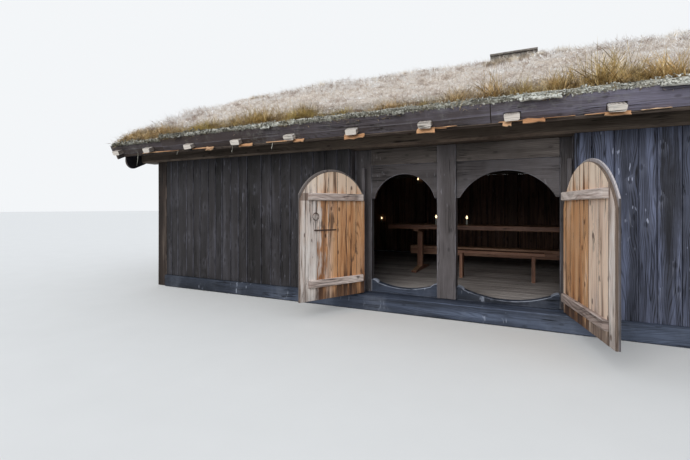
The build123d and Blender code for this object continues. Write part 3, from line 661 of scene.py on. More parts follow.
def dress(name, nodes, material, slot, grain, arris, hewn, step, tones, seed, worn_width=0.016, lines=(), fade=0.0):
    """Solids of the frame with their arrises taken off, cut across the grain and hewn uneven.

    grain is a direction or "slope", lines are planes to cut along, and fade is how much the tone changes per
    metre along the house."""
    chance = random.Random(seed)
    shape = bmesh.new()

    def cut(place, normal):
        bmesh.ops.bisect_plane(shape, geom=shape.verts[:] + shape.edges[:] + shape.faces[:],
                               plane_co=place, plane_no=normal)

    for node in nodes:
        shape.from_mesh(frame["nodes"][node].data)
    bmesh.ops.remove_doubles(shape, verts=shape.verts, dist=1e-5)
    bmesh.ops.dissolve_limit(shape, angle_limit=0.01, verts=shape.verts, edges=shape.edges)
    sharp = [e for e in shape.edges if len(e.link_faces) == 2 and e.calc_face_angle(0) > 1.0]
    bmesh.ops.bevel(shape, geom=sharp, offset=arris, offset_type="OFFSET", segments=1, affect="EDGES",
                    profile=0.5, clamp_overlap=True)
    for place, normal in lines:
        cut(place, normal)
    along = Y if grain == "slope" else grain
    if step:
        reach = [v.co.dot(along) for v in shape.verts]
        low, high = min(reach), max(reach)
        for k in range(1, int((high - low) / step)):
            cut(along * (low + k * step), along)
    shape.verts.ensure_lookup_table()
    island = {}
    for vert in shape.verts:
        if vert in island:
            continue
        mark = (chance.uniform(*tones), chance.uniform(0, map_width), chance.uniform(0, map_width))
        island[vert] = mark
        waiting = [vert]
        while waiting:
            for edge in waiting.pop().link_edges:
                for other in edge.verts:
                    if other not in island:
                        island[other] = mark
                        waiting.append(other)
    places, marks = [], []
    for face in shape.faces:
        tone, shift_u, shift_v = island[face.verts[0]]
        run = along
        if grain == "slope":
            run = Vector((0, -cos(slope) * (1 if face.calc_center_median().y > 0 else -1), sin(slope)))
        normal = face.normal
        is_end = abs(normal.dot(run)) > 0.8
        side = X if is_end and abs(run.x) < 0.5 else normal.cross(run).normalized()
        lengthwise = normal.cross(side) if is_end else run
        worn = face.calc_area() / max(e.calc_length() for e in face.edges) < worn_width
        for vert in face.verts:
            places.append((vert.co.dot(lengthwise) + shift_u, vert.co.dot(side) + shift_v))
            marks.append((held(tone + fade * vert.co.x), float(worn), float(is_end), 1.0))
    if hewn:
        for vert in shape.verts:
            tone, shift_u, shift_v = island[vert]
            ragged = 0.5 + 0.5 * noise.noise(vert.co * 2.3 + Vector((shift_u, 0, shift_v)))
            vert.co += vert.normal * -hewn * ragged
    mesh = bpy.data.meshes.new(name)
    shape.to_mesh(mesh)
    shape.free()
    finish(name, mesh, places, marks, material, nodes, frame["nodes"][nodes[0]]["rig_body"])


# Board walls: upright planks with V joints, lapped at half their thickness

def plank_section(width, gap, tongue):
    """A wall plank's section from its outer face inwards: a bevel each side, and a tongue behind the next plank."""
    w, bevel = width / 2, 0.008
    lap, rebate = -wall_board / 2, board_lap + joint_gap
    behind = lap - lap_play
    return [(-w + rebate, -wall_board), (w + tongue, -wall_board), (w + tongue, behind), (w - gap, behind),
            (w - gap, -bevel), (w - gap - bevel, 0), (-w + gap + bevel, 0), (-w + gap, -bevel), (-w + gap, lap),
            (-w + rebate, lap)], (4, 6)


def board_wall(name, node, outward, seams, tones, seed, wide_joints=(), reach=None, material=tarred_board):
    """Planks between seams, which are places along the wall."""
    heap = Heap(name, seed)
    low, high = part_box(node)
    line = Vector((abs(outward.y), abs(outward.x), 0))
    face = max(low.dot(outward), high.dot(outward))
    last = seams[-2] if outward.cross(Z).dot(line) > 0 else seams[0]
    for a, b in pairwise(seams):
        gap = wide_gap if any(abs(a - joint) < 0.01 for joint in wide_joints) else joint_gap
        section, arrises = plank_section(b - a - board_play, gap, 0 if a == last else board_lap)
        origin = line * (a + b) / 2 + outward * (face - heap.draw(0, 0.003)) + Z * low.z
        sweep(heap, origin, Z, outward, section, high.z - low.z, heap.draw(*tones), 0.0035, 0.3, arrises, reach)
    heap.piece(material, "tarred_board", [node])


def seams_between(start, end, seed, low=0.15, high=0.205):
    """Board joints at uneven widths from start to end."""
    chance = random.Random(seed)
    seams = [start]
    while seams[-1] + high * 1.3 < end:
        seams.append(seams[-1] + chance.uniform(low, high))
    if end - seams[-1] > high * 1.05:
        seams.append((seams[-1] + end) / 2)
    return seams + [end]


def gable_reach(foot):
    """How far a gable plank stands up, to the deck, or to the plate near the long walls."""
    near_plate = wall_half_depth + plate_over - plate_width
    top = under_deck(foot.y) if abs(foot.y) < near_plate + 0.001 else plate_under
    return top - foot.z


post_x = half_length - 0.2
left_seams = [-post_x, -4.685, -4.526, -4.325, -4.172, -4.022, -3.84, -3.689, -3.55, -3.373, -3.218, -3.05,
              -2.775, -2.6, -2.427, -2.259, -2.064, -1.873, -1.688, -1.493, -1.3]
right_seams = [1.355, 1.51, 1.715, 1.92, 2.07] + seams_between(2.27, post_x, 11)
gable_seams = [-2.5] + seams_between(-2.41, 2.41, 13) + [2.5]
board_wall("front_boards_left", "wall_front_left", -Y, left_seams, (0.2, 0.58), 2, (-3.05,))
board_wall("front_boards_right", "wall_front_right", -Y, right_seams, (0.4, 0.75), 3, (1.51,), None, sky_sheen_board)
board_wall("back_boards", "wall_back", Y, seams_between(-post_x, post_x, 12), (0.15, 0.8), 4, (), None, back_board)
for name, node, outward in (("gable_boards_left", "wall_gable_left", -X),
                            ("gable_boards_right", "wall_gable_right", X)):
    board_wall(name, node, outward, gable_seams, (0.15, 0.85), len(name), (), gable_reach)

# Sills, posts, plates, portal and roof timbers, dressed from the frame's own solids: nodes, wood, slot, grain,
# arris, how deep they are hewn, how far apart they are cut for it, and the range of tones

wane_lines = [(roof_point(side, 0, deck + wane_height + above), slope_axes(side)[1])
              for _, side in sides for above in (-wane_half, wane_half)]
dressed = {
    "long_sills": ("sills_long", sky_sheen_timber, "tarred_timber", X, 0.012, 0.008, 0.45, (0.47, 0.53)),
    "gable_sills": ("sills_gable", tarred_timber, "tarred_timber", Y, 0.012, 0.008, 0.45, (0.35, 0.6)),
    "corner_post_timbers": ("corner_posts", brown_timber, "tarred_timber", Z, 0.008, 0.005, 0.4, (0.15, 0.3)),
    # The plates take the pale end of their tones, and worn_width 0.05 gives their 5 cm chamfers the pale worn colour:
    # painted light from below on the shaded plate.
    "plate_timbers": ("wall_plates", brown_timber, "tarred_timber", X, 0.03, 0.007, 0.5, (0.95, 1.0)),
    "portal_side_posts": ("portal_posts", weathered_timber, "weathered_timber", Z, 0.005, 0.003, 0.4, (0.3, 0.5)),
    "portal_strips": ("jamb_strips", weathered_timber, "weathered_timber", Z, 0.004, 0.002, 0.4, (0.7, 0.9)),
    "portal_middle_post": ("middle_post", weathered_timber, "weathered_timber", Z, 0.008, 0.004, 0.35, (0.5, 0.7)),
    "portal_lintels": ("lintels", lintel_timber, "weathered_timber", X, 0.006, 0.004, 0.3, (0.56, 0.6)),
    "arched_boards": ("arch_board_left arch_board_right", weathered_timber, "weathered_timber", X, 0.006, 0.0, 0,
                      (0.42, 0.48)),
    "threshold_boards": ("thresholds", sky_sheen_timber, "weathered_timber", X, 0.007, 0.0, 0, (0.1, 0.18)),
    "barge_timbers": ("barge_boards", tarred_timber, "tarred_timber", "slope", 0.006, 0.003, 0.4, (0.3, 0.6)),
    "verge_timbers": ("verge_boards", tarred_timber, "tarred_timber", "slope", 0.005, 0.003, 0.4, (0.4, 0.7)),
    "ridge_and_purlins": ("ridge_beam purlins", inner_timber, "inner_timber", X, 0.008, 0.004, 0.6, (0.3, 0.7)),
    "deck_boards": ("roof_deck_front roof_deck_back", brown_timber, "inner_timber", X, 0.003, 0.0, 0, (0.45, 0.55)),
    "tie_timbers": ("tie_beams", inner_timber, "inner_timber", Y, 0.008, 0.004, 0.5, (0.3, 0.6)),
    "king_post_timbers": ("king_posts", inner_timber, "inner_timber", Z, 0.006, 0.003, 0.4, (0.3, 0.6)),
    "inner_posts": ("wall_posts", inner_timber, "inner_timber", Z, 0.006, 0.004, 0.4, (0.3, 0.8)),
    "floor_bearer_timbers": ("floor_bearers", inner_timber, "inner_timber", Y, 0.004, 0.0, 0, (0.2, 0.5)),
    "eave_board_timbers": ("eave_boards", eave_timber, "eave_timber", X, 0.009, 0.011, 0.32, (0.52, 0.58)),
    "vent_curb_boards": ("vent_curb", vent_wood, "vent_wood", X, 0.004, 0.002, 0, (0.3, 0.6)),
    "trestles": ("table_trestles", furniture_wood, "furniture_pine", Z, 0.005, 0.003, 0.3, (0.2, 0.5)),
}
# The fades on the eave boards and the long sills, paler and bluer towards the right, are painted sky sheen.
special = {"long_sills": {"fade": 0.13}, "plate_timbers": {"worn_width": 0.05}, "portal_lintels": {"fade": 0.32},
           "arched_boards": {"fade": 0.2}, "threshold_boards": {"fade": 0.1},
           "eave_board_timbers": {"lines": wane_lines, "fade": 0.2}}
for seed, (name, (nodes, *how)) in enumerate(dressed.items(), 21):
    dress(name, nodes.split(), *how, seed, **special.get(name, {}))

# Floor, table, benches and vent lid, board by board

heap = Heap("floor_planks", 51)
low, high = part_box("floor")
for y0, y1 in pairwise(seams_between(low.y, high.y, 52, 0.16, 0.24)):
    for x0, x1 in pairwise([low.x, heap.draw(-2.6, -0.6), heap.draw(0.9, 3.2), high.x]):
        board(heap, (x0 + 0.001, (y0 + y1) / 2, high.z), X, Z, y1 - y0 - 0.004, 0.04, 0.003, x1 - x0 - 0.002,
              heap.draw(0.2, 0.8), 0.002, 0.8)
heap.piece(floor_wood, "floor_board", ["floor"])


def planked_top(name, node, boards, material, slot, thickness, seed, overlap, tones):
    """A top of boards laid side by side along X over a node's box, with uneven ends."""
    heap = Heap(name, seed)
    low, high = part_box(node)
    width = (high.y - low.y) / boards
    for k in range(boards):
        end = heap.draw(0, overlap)
        board(heap, (low.x + end, low.y + width * (k + 0.5), high.z), X, Z, width - 0.003, thickness, 0.006,
              high.x - low.x - end - heap.draw(0, overlap), heap.draw(*tones), 0.004, 0.4)
    heap.piece(material, slot, [node])


planked_top("table_boards", "table_top", 4, furniture_wood, "furniture_pine", 0.075, 53, 0.012, (0.2, 0.4))
planked_top("vent_lid_boards", "vent_lid", 3, vent_wood, "vent_wood", 0.032, 54, 0.02, (0.3, 0.7))


def board_bench(name, node, boards, seat, leg_in, apron, tones, seed):
    """Seat boards along X on two upright board legs, with an apron in front where it has one."""
    heap = Heap(name, seed)
    low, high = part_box(node)
    length, width, under_seat = high.x - low.x, (high.y - low.y) / boards, high.z - seat
    for k in range(boards):
        board(heap, (low.x, low.y + width * (k + 0.5), high.z), X, Z, width - 0.002, seat, 0.007, length,
              heap.draw(*tones), 0.004, 0.3)
    for x in (low.x + leg_in, high.x - leg_in):
        board(heap, (x, low.y + leg_set_back, low.z), Z, -Y, bench_leg, high.y - low.y - 2 * leg_set_back, 0.005,
              under_seat - low.z, heap.draw(*tones), 0.003, 0.2)
    if apron:
        board(heap, (low.x, low.y, under_seat - apron / 2), X, -Y, apron, 0.025, 0.003, length,
              heap.draw(*tones), 0.002, 0.4)
    heap.piece(furniture_wood, "furniture_pine", [node])


board_bench("front_bench_boards", "front_bench", 1, 0.045, 0.155, 0, (0.35, 0.5), 55)
board_bench("back_bench_boards", "back_bench", 2, 0.05, 0.155, 0.11, (0.65, 0.9), 56)


# Candles: tallow lights on the table and two behind it, each on a small shelf board

flame, m, solid = new_material("candle flame")
glow = m.cloud(solid, 30, 1)
close_material(m, m.mix(glow, (1.0, 0.62, 0.25), (1.0, 0.75, 0.4)), 0.6, glow, 0.05, 0.001,
               Emission_Color=m.mix(glow, (1.0, 0.66, 0.32), (1.0, 0.8, 0.52)), Emission_Strength=2.5)
tallow, flames = Heap("candles", 57), Heap("candle_flames", 58)
stem, bulb = ([(cos(k * pi / 4) * radius, sin(k * pi / 4) * radius) for k in range(8)] for radius in (0.014, 0.016))
table_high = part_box("table_top")[1].z
wall_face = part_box("wall_back")[0].y
for x, y, foot, tall in ((-0.69, -0.2, table_high, 0.11), (-0.14, -0.2, table_high, 0.1),
                         (-1.74, wall_face - 0.2 - 0.05, 1.98, 0.08), (-2.8, wall_face - 0.05, 0.97, 0.08)):
    sweep(tallow, Vector((x, y, foot)), Z, Y, stem, tall, 0.6, 0.001, 0.05)
    sweep(flames, Vector((x, y, foot + tall + 0.002)), Z, Y, bulb, 0.06, 0.5, 0.0, 0.012,
          swell=lambda t: 1.1 * sin(pi * (0.12 + 0.84 * t ** 0.8)) - 1.0)
    if foot != table_high:
        board(tallow, (x - 0.04, y, foot), X, Z, 0.1, 0.02, 0.003, 0.08, 0.1, 0.001, 0.08)
tallow.piece(bark, "furniture_pine")
flames.piece(flame, "furniture_pine")


# Doors: two layers of planks cut to one arc, with two cross boards inside

class Leaf:
    """A door leaf's own lines, read from its pin, its joint's range and its solids."""

    def __init__(self, name):
        joint = next(j for j in frame["joints"] if j["child"] == name)
        self.name = name
        self.pin = Vector((joint["pos_m"][0], joint["pos_m"][1], 0))
        low, high = joint["range_deg"]
        left = name.startswith("left")
        angle = radians(-high) if left else radians(180 - low)
        self.along = Vector((cos(angle), sin(angle), 0))
        self.outward = Vector((self.along.y, -self.along.x, 0)) * (1 if left else -1)

    def spans(self, node):
        """Along, height and outward reach of one of its solids, and the height of its sides."""
        spots = [v.co for v in frame["nodes"][node].data.vertices]
        us = [(p - self.pin).dot(self.along) for p in spots]
        outs = [(p - self.pin).dot(self.outward) for p in spots]
        zs = [p.z for p in spots]
        shoulder = max(z for z, u in zip(zs, us) if u < min(us) + 1e-4)
        return min(us), max(us), min(zs), max(zs), shoulder, min(outs), max(outs)


def leaf_planks(leaf, layer, name, seams, tones, material, slot, seed):
    """The planks of one layer, each cut to the segment of a circle that the head follows."""
    node = f"{leaf.name}_{layer}"
    heap = Heap(name, seed)
    u0, u1, bottom, top, shoulder, out0, out1 = leaf.spans(node)
    half, rise = (u1 - u0) / 2, top - shoulder
    radius = (half ** 2 + rise ** 2) / (2 * rise)

    def height(u):
        return top - radius + sqrt(max(0.0, radius ** 2 - (u - u0 - half) ** 2))

    from_inside = layer == "planks"
    mirrored = (leaf.along.cross(Z).dot(leaf.outward) > 0) == from_inside
    face = out0 if from_inside else out1
    for (a, b), tone in zip(pairwise(u0 + (u1 - u0) * s for s in seams), tones):
        a, b = a + leaf_joint, b - leaf_joint
        head = [(a + (b - a) * k / 6, height(a + (b - a) * k / 6)) for k in range(7)]
        outline = [(a, bottom), (b, bottom)] + head[::-1]
        right = leaf.along
        if mirrored:
            outline = [(-u, z) for u, z in outline][::-1]
            right = -leaf.along
        lift = heap.draw(0, leaf_unevenness)
        origin = leaf.pin + leaf.outward * (face + (lift if from_inside else -lift))
        slab(heap, origin, right, Z, outline, out1 - out0 - lift, tone, 0.003, -1 if from_inside else shoulder - 0.02)
    heap.piece(material, slot, [node], leaf.name)


def leaf_battens(leaf, seed, tones):
    """Cross boards with bevelled edges and ends, the lower one first."""
    heap = Heap(leaf.name + "_cross_boards", seed)
    node = leaf.name + "_battens"
    u0, u1, bottom, top, _, out0, out1 = leaf.spans(node)
    depth, length = out1 - out0, u1 - u0
    w, bevel, taper, count = 0.045, 0.008, 0.022, 8
    section = [(-w, 0), (w, 0), (w, depth - bevel), (w - bevel, depth), (-w + bevel, depth), (-w, depth - bevel)]
    size = len(section)
    inward = -leaf.outward
    across = inward.cross(leaf.along)
    stops = [taper + (length - 2 * taper) * k / (count - 3) for k in range(1, count - 2)]
    stops = [0, taper] + stops + [length]
    last = len(stops) - 1
    for foot, tone in zip((bottom, top - 2 * w), tones):
        base = leaf.pin + leaf.along * u0 + Z * (foot + w) + leaf.outward * out1
        u, v = heap.shift()
        points, faces = [], []
        for k, stop in enumerate(stops):
            thin = 0.03 if k in (0, last) else 1.0
            for b, c in section:
                wave = 0.002 * noise.noise(Vector((stop * 3 + u, b * 9, c * 9)))
                points.append(base + leaf.along * stop + across * b + inward * (c * thin - abs(wave) * thin))
        for k, i, corners in quads(last, size):
            u0_, u1_, v0, v1 = u + stops[k], u + stops[k + 1], v + i * 0.03, v + (i + 1) * 0.03
            faces.append((corners, ((u0_, v0), (u0_, v1), (u1_, v1), (u1_, v0)),
                          (tone, float(i in (2, 4)), 0.55 if k in (0, last - 1) else 0)))
        for corners in (range(size)[::-1], range(last * size, (last + 1) * size)):
            faces.append((corners, [(u, v)] * size, (tone, 0, 1)))
        heap.add(points, faces)
    heap.piece(batten_pine, "door_pine", [node], leaf.name)


left_leaf, right_leaf = Leaf("left_door"), Leaf("right_door")
leaf_planks(left_leaf, "planks", "left_door_inner_planks", (0, 0.143, 0.308, 0.447, 0.578, 0.756, 0.924, 1),
            (0.6, 0.42, 0.54, 0.5, 0.52, 0.93, 0.97), door_pine, "door_pine", 61)
leaf_planks(right_leaf, "planks", "right_door_inner_planks", (0, 0.18, 0.38, 0.565, 0.74, 0.9, 1),
            (0.63, 0.6, 0.62, 0.77, 0.73, 0.98), door_pine, "door_pine", 62)
leaf_planks(left_leaf, "facing", "left_door_outer_planks", (0, 0.2, 0.4, 0.6, 0.8, 1),
            (0.5, 0.4, 0.6, 0.45, 0.55), shaded_edge_facing, "tarred_timber", 63)
leaf_planks(right_leaf, "facing", "right_door_outer_planks", (0, 0.19, 0.36, 0.52, 0.68, 0.84, 1),
            (0.5, 0.4, 0.6, 0.45, 0.55, 0.5), door_facing, "tarred_timber", 64)
leaf_battens(left_leaf, 65, (0.42, 0.95))
leaf_battens(right_leaf, 66, (0.3, 0.95))

for node in ("door_pins", "left_door_straps", "right_door_straps", "left_door_ring", "left_door_staple",
             "left_door_bar"):
    mesh = frame["nodes"][node].data
    mesh.materials.clear()
    mesh.materials.append(wrought_iron)

# Peg ends: cleft blocks that stick out under the turf board

for part, side in sides:
    heap = Heap("peg_timbers_" + part, 71 + side)
    down, out = slope_axes(side)
    for x in peg_places:
        section, arrises = squared(0.155, 0.075, 0.012)
        section = [(b + heap.draw(-0.004, 0.004), min(0, c + heap.draw(-0.004, 0.004))) for b, c in section]
        sweep(heap, roof_point(side, turf_start + peg_in, deck + 0.1) + X * x, down, out, section,
              peg_in + turf_start + peg_out + heap.draw(-0.012, 0), heap.draw(0.25, 0.8), 0.01, 0.06, arrises,
              wander=11)
    heap.piece(peg_wood, "peg_wood", ["eave_pegs_" + part])


# Bark and lichen along the turf board's top, with loose flaps over it

def flap(heap, side, x, up, out, down, length, width, curl, tone, thickness):
    """A torn piece of bark that hangs from a place on a slope, bent over an edge. The back mirrors x."""
    centre = roof_point(side, up, out) + X * side * -x
    along = X * side * -1
    normal = along.cross(down).normalized()
    u, v = heap.shift()
    nu, nv = 4, 3
    top, under = [], []
    for i in range(nu + 1):
        for j in range(nv + 1):
            s, t = i / nu - 0.5, j / nv
            tear = heap.draw(-0.14, 0.14)
            spot = centre + along * length * (s + (tear * 0.25 if i in (0, nu) else 0))
            spot += down * width * (t + (tear if j in (0, nv) else 0))
            spot += normal * (-curl * t * t + heap.draw(-0.003, 0.003))
            top.append(spot)
            under.append(spot - normal * thickness)
    faces = []
    row = nv + 1
    count = len(top)
    for i, j, (a, d, c, b) in quads(nu, row, False):
        place = [(u + length * k[0] / nu, v + width * k[1] / nv)
                 for k in ((i, j), (i + 1, j), (i + 1, j + 1), (i, j + 1))]
        faces.append(((a, b, c, d), place, (tone, 0, 0)))
        faces.append(((count + d, count + c, count + b, count + a), place[::-1], (tone, 0, 0)))
    rim = ([i * row for i in range(nu + 1)] + [nu * row + j for j in range(1, row)]
           + [i * row + nv for i in range(nu - 1, -1, -1)] + [j for j in range(nv - 1, 0, -1)])
    for a, b in zip(rim, rim[1:] + rim[:1]):
        faces.append(((b, a, count + a, count + b), [(u, v)] * 4, (tone, 1, 0)))
    heap.add(top + under, faces)


def crumb(heap, spot, size, tone):
    """An irregular scrap of lichen or bark."""
    tip = Vector([heap.draw(-1, 1), heap.draw(-1, 1), heap.draw(0.2, 1)]).normalized()
    side = tip.orthogonal().normalized()
    other = tip.cross(side)
    points = []
    for k in range(6):
        turn = k * pi / 3 + heap.draw(-0.35, 0.35)
        points.append(spot + (side * cos(turn) + other * sin(turn)) * size * heap.draw(0.55, 1.15))
    points += [spot + tip * size * 0.4, spot - tip * size * 0.3]
    shift = heap.draw(0, map_width)
    faces = []
    for k in range(6):
        j = (k + 1) % 6
        for corners in ((k, j, 6), (j, k, 7)):
            places = [(shift + points[c].x * 3, shift + (points[c].y + points[c].z) * 3) for c in corners]
            faces.append((corners, places, (tone, 0, 0)))
    heap.add(points, faces)


def strip_height(x):
    """How high the lichen stands over the turf board."""
    return 0.055 + 0.025 * noise.noise(Vector((x * 2.1, 0, 5.0))) + 0.02 * noise.noise(Vector((x * 9.0, 0, 8.0)))


ridge = [(-0.022, -0.012), (0.05, -0.012), (0.055, 0.03), (0.03, 0.055), (0.0, 0.05), (-0.026, 0.02)]
slabs = [(1.02, 0.36), (2.12, 0.3), (-0.42, 0.13), (-2.25, 0.14), (3.3, 0.3), (-3.9, 0.15)]
shreds = [(-4.91, 0.2), (-4.0, 0.07), (-2.92, 0.1), (-2.23, 0.1)]
shelf_share = 9
for (part, side), crumbs in zip(sides, (4200, 1500)):
    heap = Heap("bark_strip_" + part, 83 + side)
    down, out = slope_axes(side)
    for start, end, low in ((-strip_end, -low_board_end, low_board_drop), (-low_board_end, strip_end, 0)):
        origin = roof_point(side, 0, eave_board_top - low) - X * side * start
        sweep(heap, origin, X * -side, out, ridge, end - start, 0.5, 0.022, 0.06, wander=9)
    hang = down + Z * -0.6
    over = (X * side).cross(hang).normalized() * 0.018
    for x, length in slabs:
        flap(heap, side, x, 0.012, eave_board_top + 0.022, hang, length, heap.draw(0.05, 0.065), 0.0, 0.7, 0.016)
    for k in range(crumbs):
        if k % shelf_share:
            x = heap.draw(-strip_end, strip_end)
            top = eave_board_top - (low_board_drop if x * -side < -low_board_end else 0)
            rise = heap.draw(-0.012, strip_height(x))
            back = max(0.0, rise - 0.03) * 1.3
            spot = roof_point(side, heap.draw(-0.028, -0.005) + back, top + rise) + X * x
        else:
            x, length = heap.chance.choice(slabs)
            x = (x + heap.draw(-0.5, 0.5) * length) * -side
            spot = roof_point(side, 0.008, eave_board_top + 0.024) + X * x + over
            spot += hang * heap.draw(0, 0.065)
        crumb(heap, spot, heap.draw(0.006, 0.017), held(heap.chance.triangular(0.0, 1.0, 0.5) + 0.1 * x * -side))
    for x, fall in shreds:
        flap(heap, side, x, 0.0, deck + 0.01, -Z, 0.007, fall, 0.02, 0.6, 0.003)
    heap.piece(bark, "peg_wood")

# Strips and tongues of bark that show under the turf board, most of them beside the pegs: place, length, fall

tongues = [(-3.33, 0.135, 0.06), (-2.67, 0.23, 0.045), (-1.8, 0.15, 0.05), (-1.01, 0.26, 0.065), (-0.13, 0.2, 0.065),
           (0.716, 0.08, 0.07), (0.96, 0.2, 0.055), (1.665, 0.2, 0.05), (2.62, 0.15, 0.05), (3.5, 0.2, 0.05)]
for part, side in sides:
    heap = Heap("under_bark_" + part, 87 + side)
    pieces = [(*tongue, 0.012) for tongue in tongues]
    for _ in range(15):
        pieces.append((heap.draw(-5.2, 5.2), heap.draw(0.15, 0.5), heap.draw(0.008, 0.016), 0.006))
    for x, length, fall, thick in pieces:
        flap(heap, side, x, -0.002, deck + 0.008, Vector((0, side * 0.5, -0.87)), length, fall,
             heap.draw(-0.01, 0.012), heap.draw(0.35, 0.8), thick)
    heap.piece(inner_bark, "peg_wood")

# Turf: a lumpy closed sod on each slope

crown = eave_z + eave_y / cos(slope) * sin(slope) + turf_out / cos(slope) - ridge_radius / cos(slope)
turf_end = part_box("turf_front")[1].x


def turf_profile(side):
    """Places on the turf's top from its lip to the ridge, evenly spaced."""
    corners = [roof_point(side, turf_start, turf_out - turf_lip), roof_point(side, turf_start + turf_brow, turf_out)]
    for k in range(9):
        turn = slope * (1 - k / 8)
        corners.append(Vector((0, side * ridge_radius * sin(turn), crown + ridge_radius * cos(turn))))
    line = []
    for a, b in pairwise(corners):
        steps = max(1, round((b - a).length / turf_pitch))
        line += [a.lerp(b, k / steps) for k in range(steps)]
    return line + [corners[-1]]


def bell(x, middle, width):
    return 2.718 ** -(((x - middle) / width) ** 2)


def crest(x, y):
    """How much taller things grow near the ridge, most of all over the left part."""
    near = max(0.0, 1 - (y / 1.15) ** 2)
    low_end = held((x + 5.3) / 1.3, 0.3)
    return near * low_end * (0.95 + 0.6 * bell(x, -2.9, 1.0) + 0.45 * noise.noise(Vector((x * 1.7, 0, 2.0))))


def verge(x, y):
    """How much the sod and its grass swell towards the two gable ends, below the ridge."""
    return bell(abs(x), 5.3, 0.5) * held((abs(y) - 0.5) / 0.9)


def lump(x, y, side):
    """How far the sod stands above its even line."""
    spot = Vector((x * 1.15, y * 1.5, side * 7.0))
    swell = noise.fractal(spot, 0.9, 2.1, 4) * 0.035 + noise.noise(spot * 5.5) * 0.02 + crest(x, y) * 0.045
    return (swell + verge(x, y) * 0.08) * min(1.0, (turf_end - abs(x)) / 0.12)


turf_tops = {}
for part, side in sides:
    line = turf_profile(side)
    _, out = slope_axes(side)
    points = []
    size = len(line) + 2
    foot = roof_point(side, turf_start, deck)
    base = roof_point(side, eave_y / cos(slope) + deck * tan(slope), deck)
    for k in range(turf_steps + 1):
        x = -turf_end + 2 * turf_end * k / turf_steps
        points.append(foot + X * x)
        for i, spot in enumerate(line):
            calm = min(1.0, i / 3, (len(line) - 1 - i) / 3 + 0.55)
            points.append(spot + X * x + out * lump(x, spot.y, side) * calm)
        points.append(base + X * x)
    faces = [corners for _, _, corners in quads(turf_steps, size)]
    faces += [range(size)[::-1], range(turf_steps * size, (turf_steps + 1) * size)]
    mesh = plain_mesh("sod_" + part, points, [f if side > 0 else f[::-1] for f in map(tuple, faces)])
    mesh.polygons.foreach_set("use_smooth", [True] * len(mesh.polygons))
    mesh.materials.append(sod)
    settle("sod_" + part, mesh, ["turf_" + part])
    turf_tops[side] = np.array([tuple(p) for p in points]).reshape(turf_steps + 1, size, 3)[:, 1:-1]


# Grass: tufts of flat bent blades strewn over the sod

def tuft_mesh(name, seed, blades, length, lean, spread, width, joints=1):
    """A few blades from one root, each a bent strip that ends in a point."""
    chance = random.Random(seed)
    points, faces, tips, own = [], [], [], []
    for _ in range(blades):
        turn = chance.uniform(0, 2 * pi)
        spot = Vector((chance.gauss(0, spread), chance.gauss(0, spread), -0.012))
        tall = length * chance.uniform(0.6, 1.05)
        lean_now = chance.uniform(*lean)
        droop = chance.uniform(0.3, 0.9)
        away = Vector((cos(turn), sin(turn), 0))
        side = Vector((-sin(turn), cos(turn), 0)) * width * chance.uniform(0.7, 1.3)
        side.z = chance.uniform(-0.4, 0.4) * width
        base = len(points)
        for k in range(joints + 1):
            level = k / (joints + 1)
            narrow = 1 - 0.45 * level
            points += [spot - side * narrow / 2, spot + side * narrow / 2]
            tips += [level, level]
            lean_now = lean_now + droop / (joints + 1)
            spot = spot + (away * sin(lean_now) + Z * cos(lean_now)) * tall / (joints + 1)
        points.append(spot)
        tips.append(1.0)
        own += [chance.random()] * (len(points) - base)
        for a in range(base, base + 2 * joints, 2):
            faces.append((a, a + 1, a + 3, a + 2))
        a = base + 2 * joints
        faces.append((a, a + 1, a + 2))
    return bpy.data.objects.new(name, plain_mesh(name, points, faces, tip=tips, blade=own))


def tuft_set(name, seed, **shape):
    """A collection of six tufts that the strewing picks from."""
    group = bpy.data.collections.new(name)
    for k in range(6):
        group.objects.link(tuft_mesh(f"{name}_{k}", seed + k, **shape))
    return group


def lot(m, kind, low, high, seed):
    """A random value for each point. The node keeps a pair of sockets for each kind of value."""
    pair = ("FLOAT_VECTOR", "FLOAT", "INT").index(kind)
    return m.out("FunctionNodeRandomValue", {2 * pair: low, 2 * pair + 1: high, 8: seed}, pair, data_type=kind)


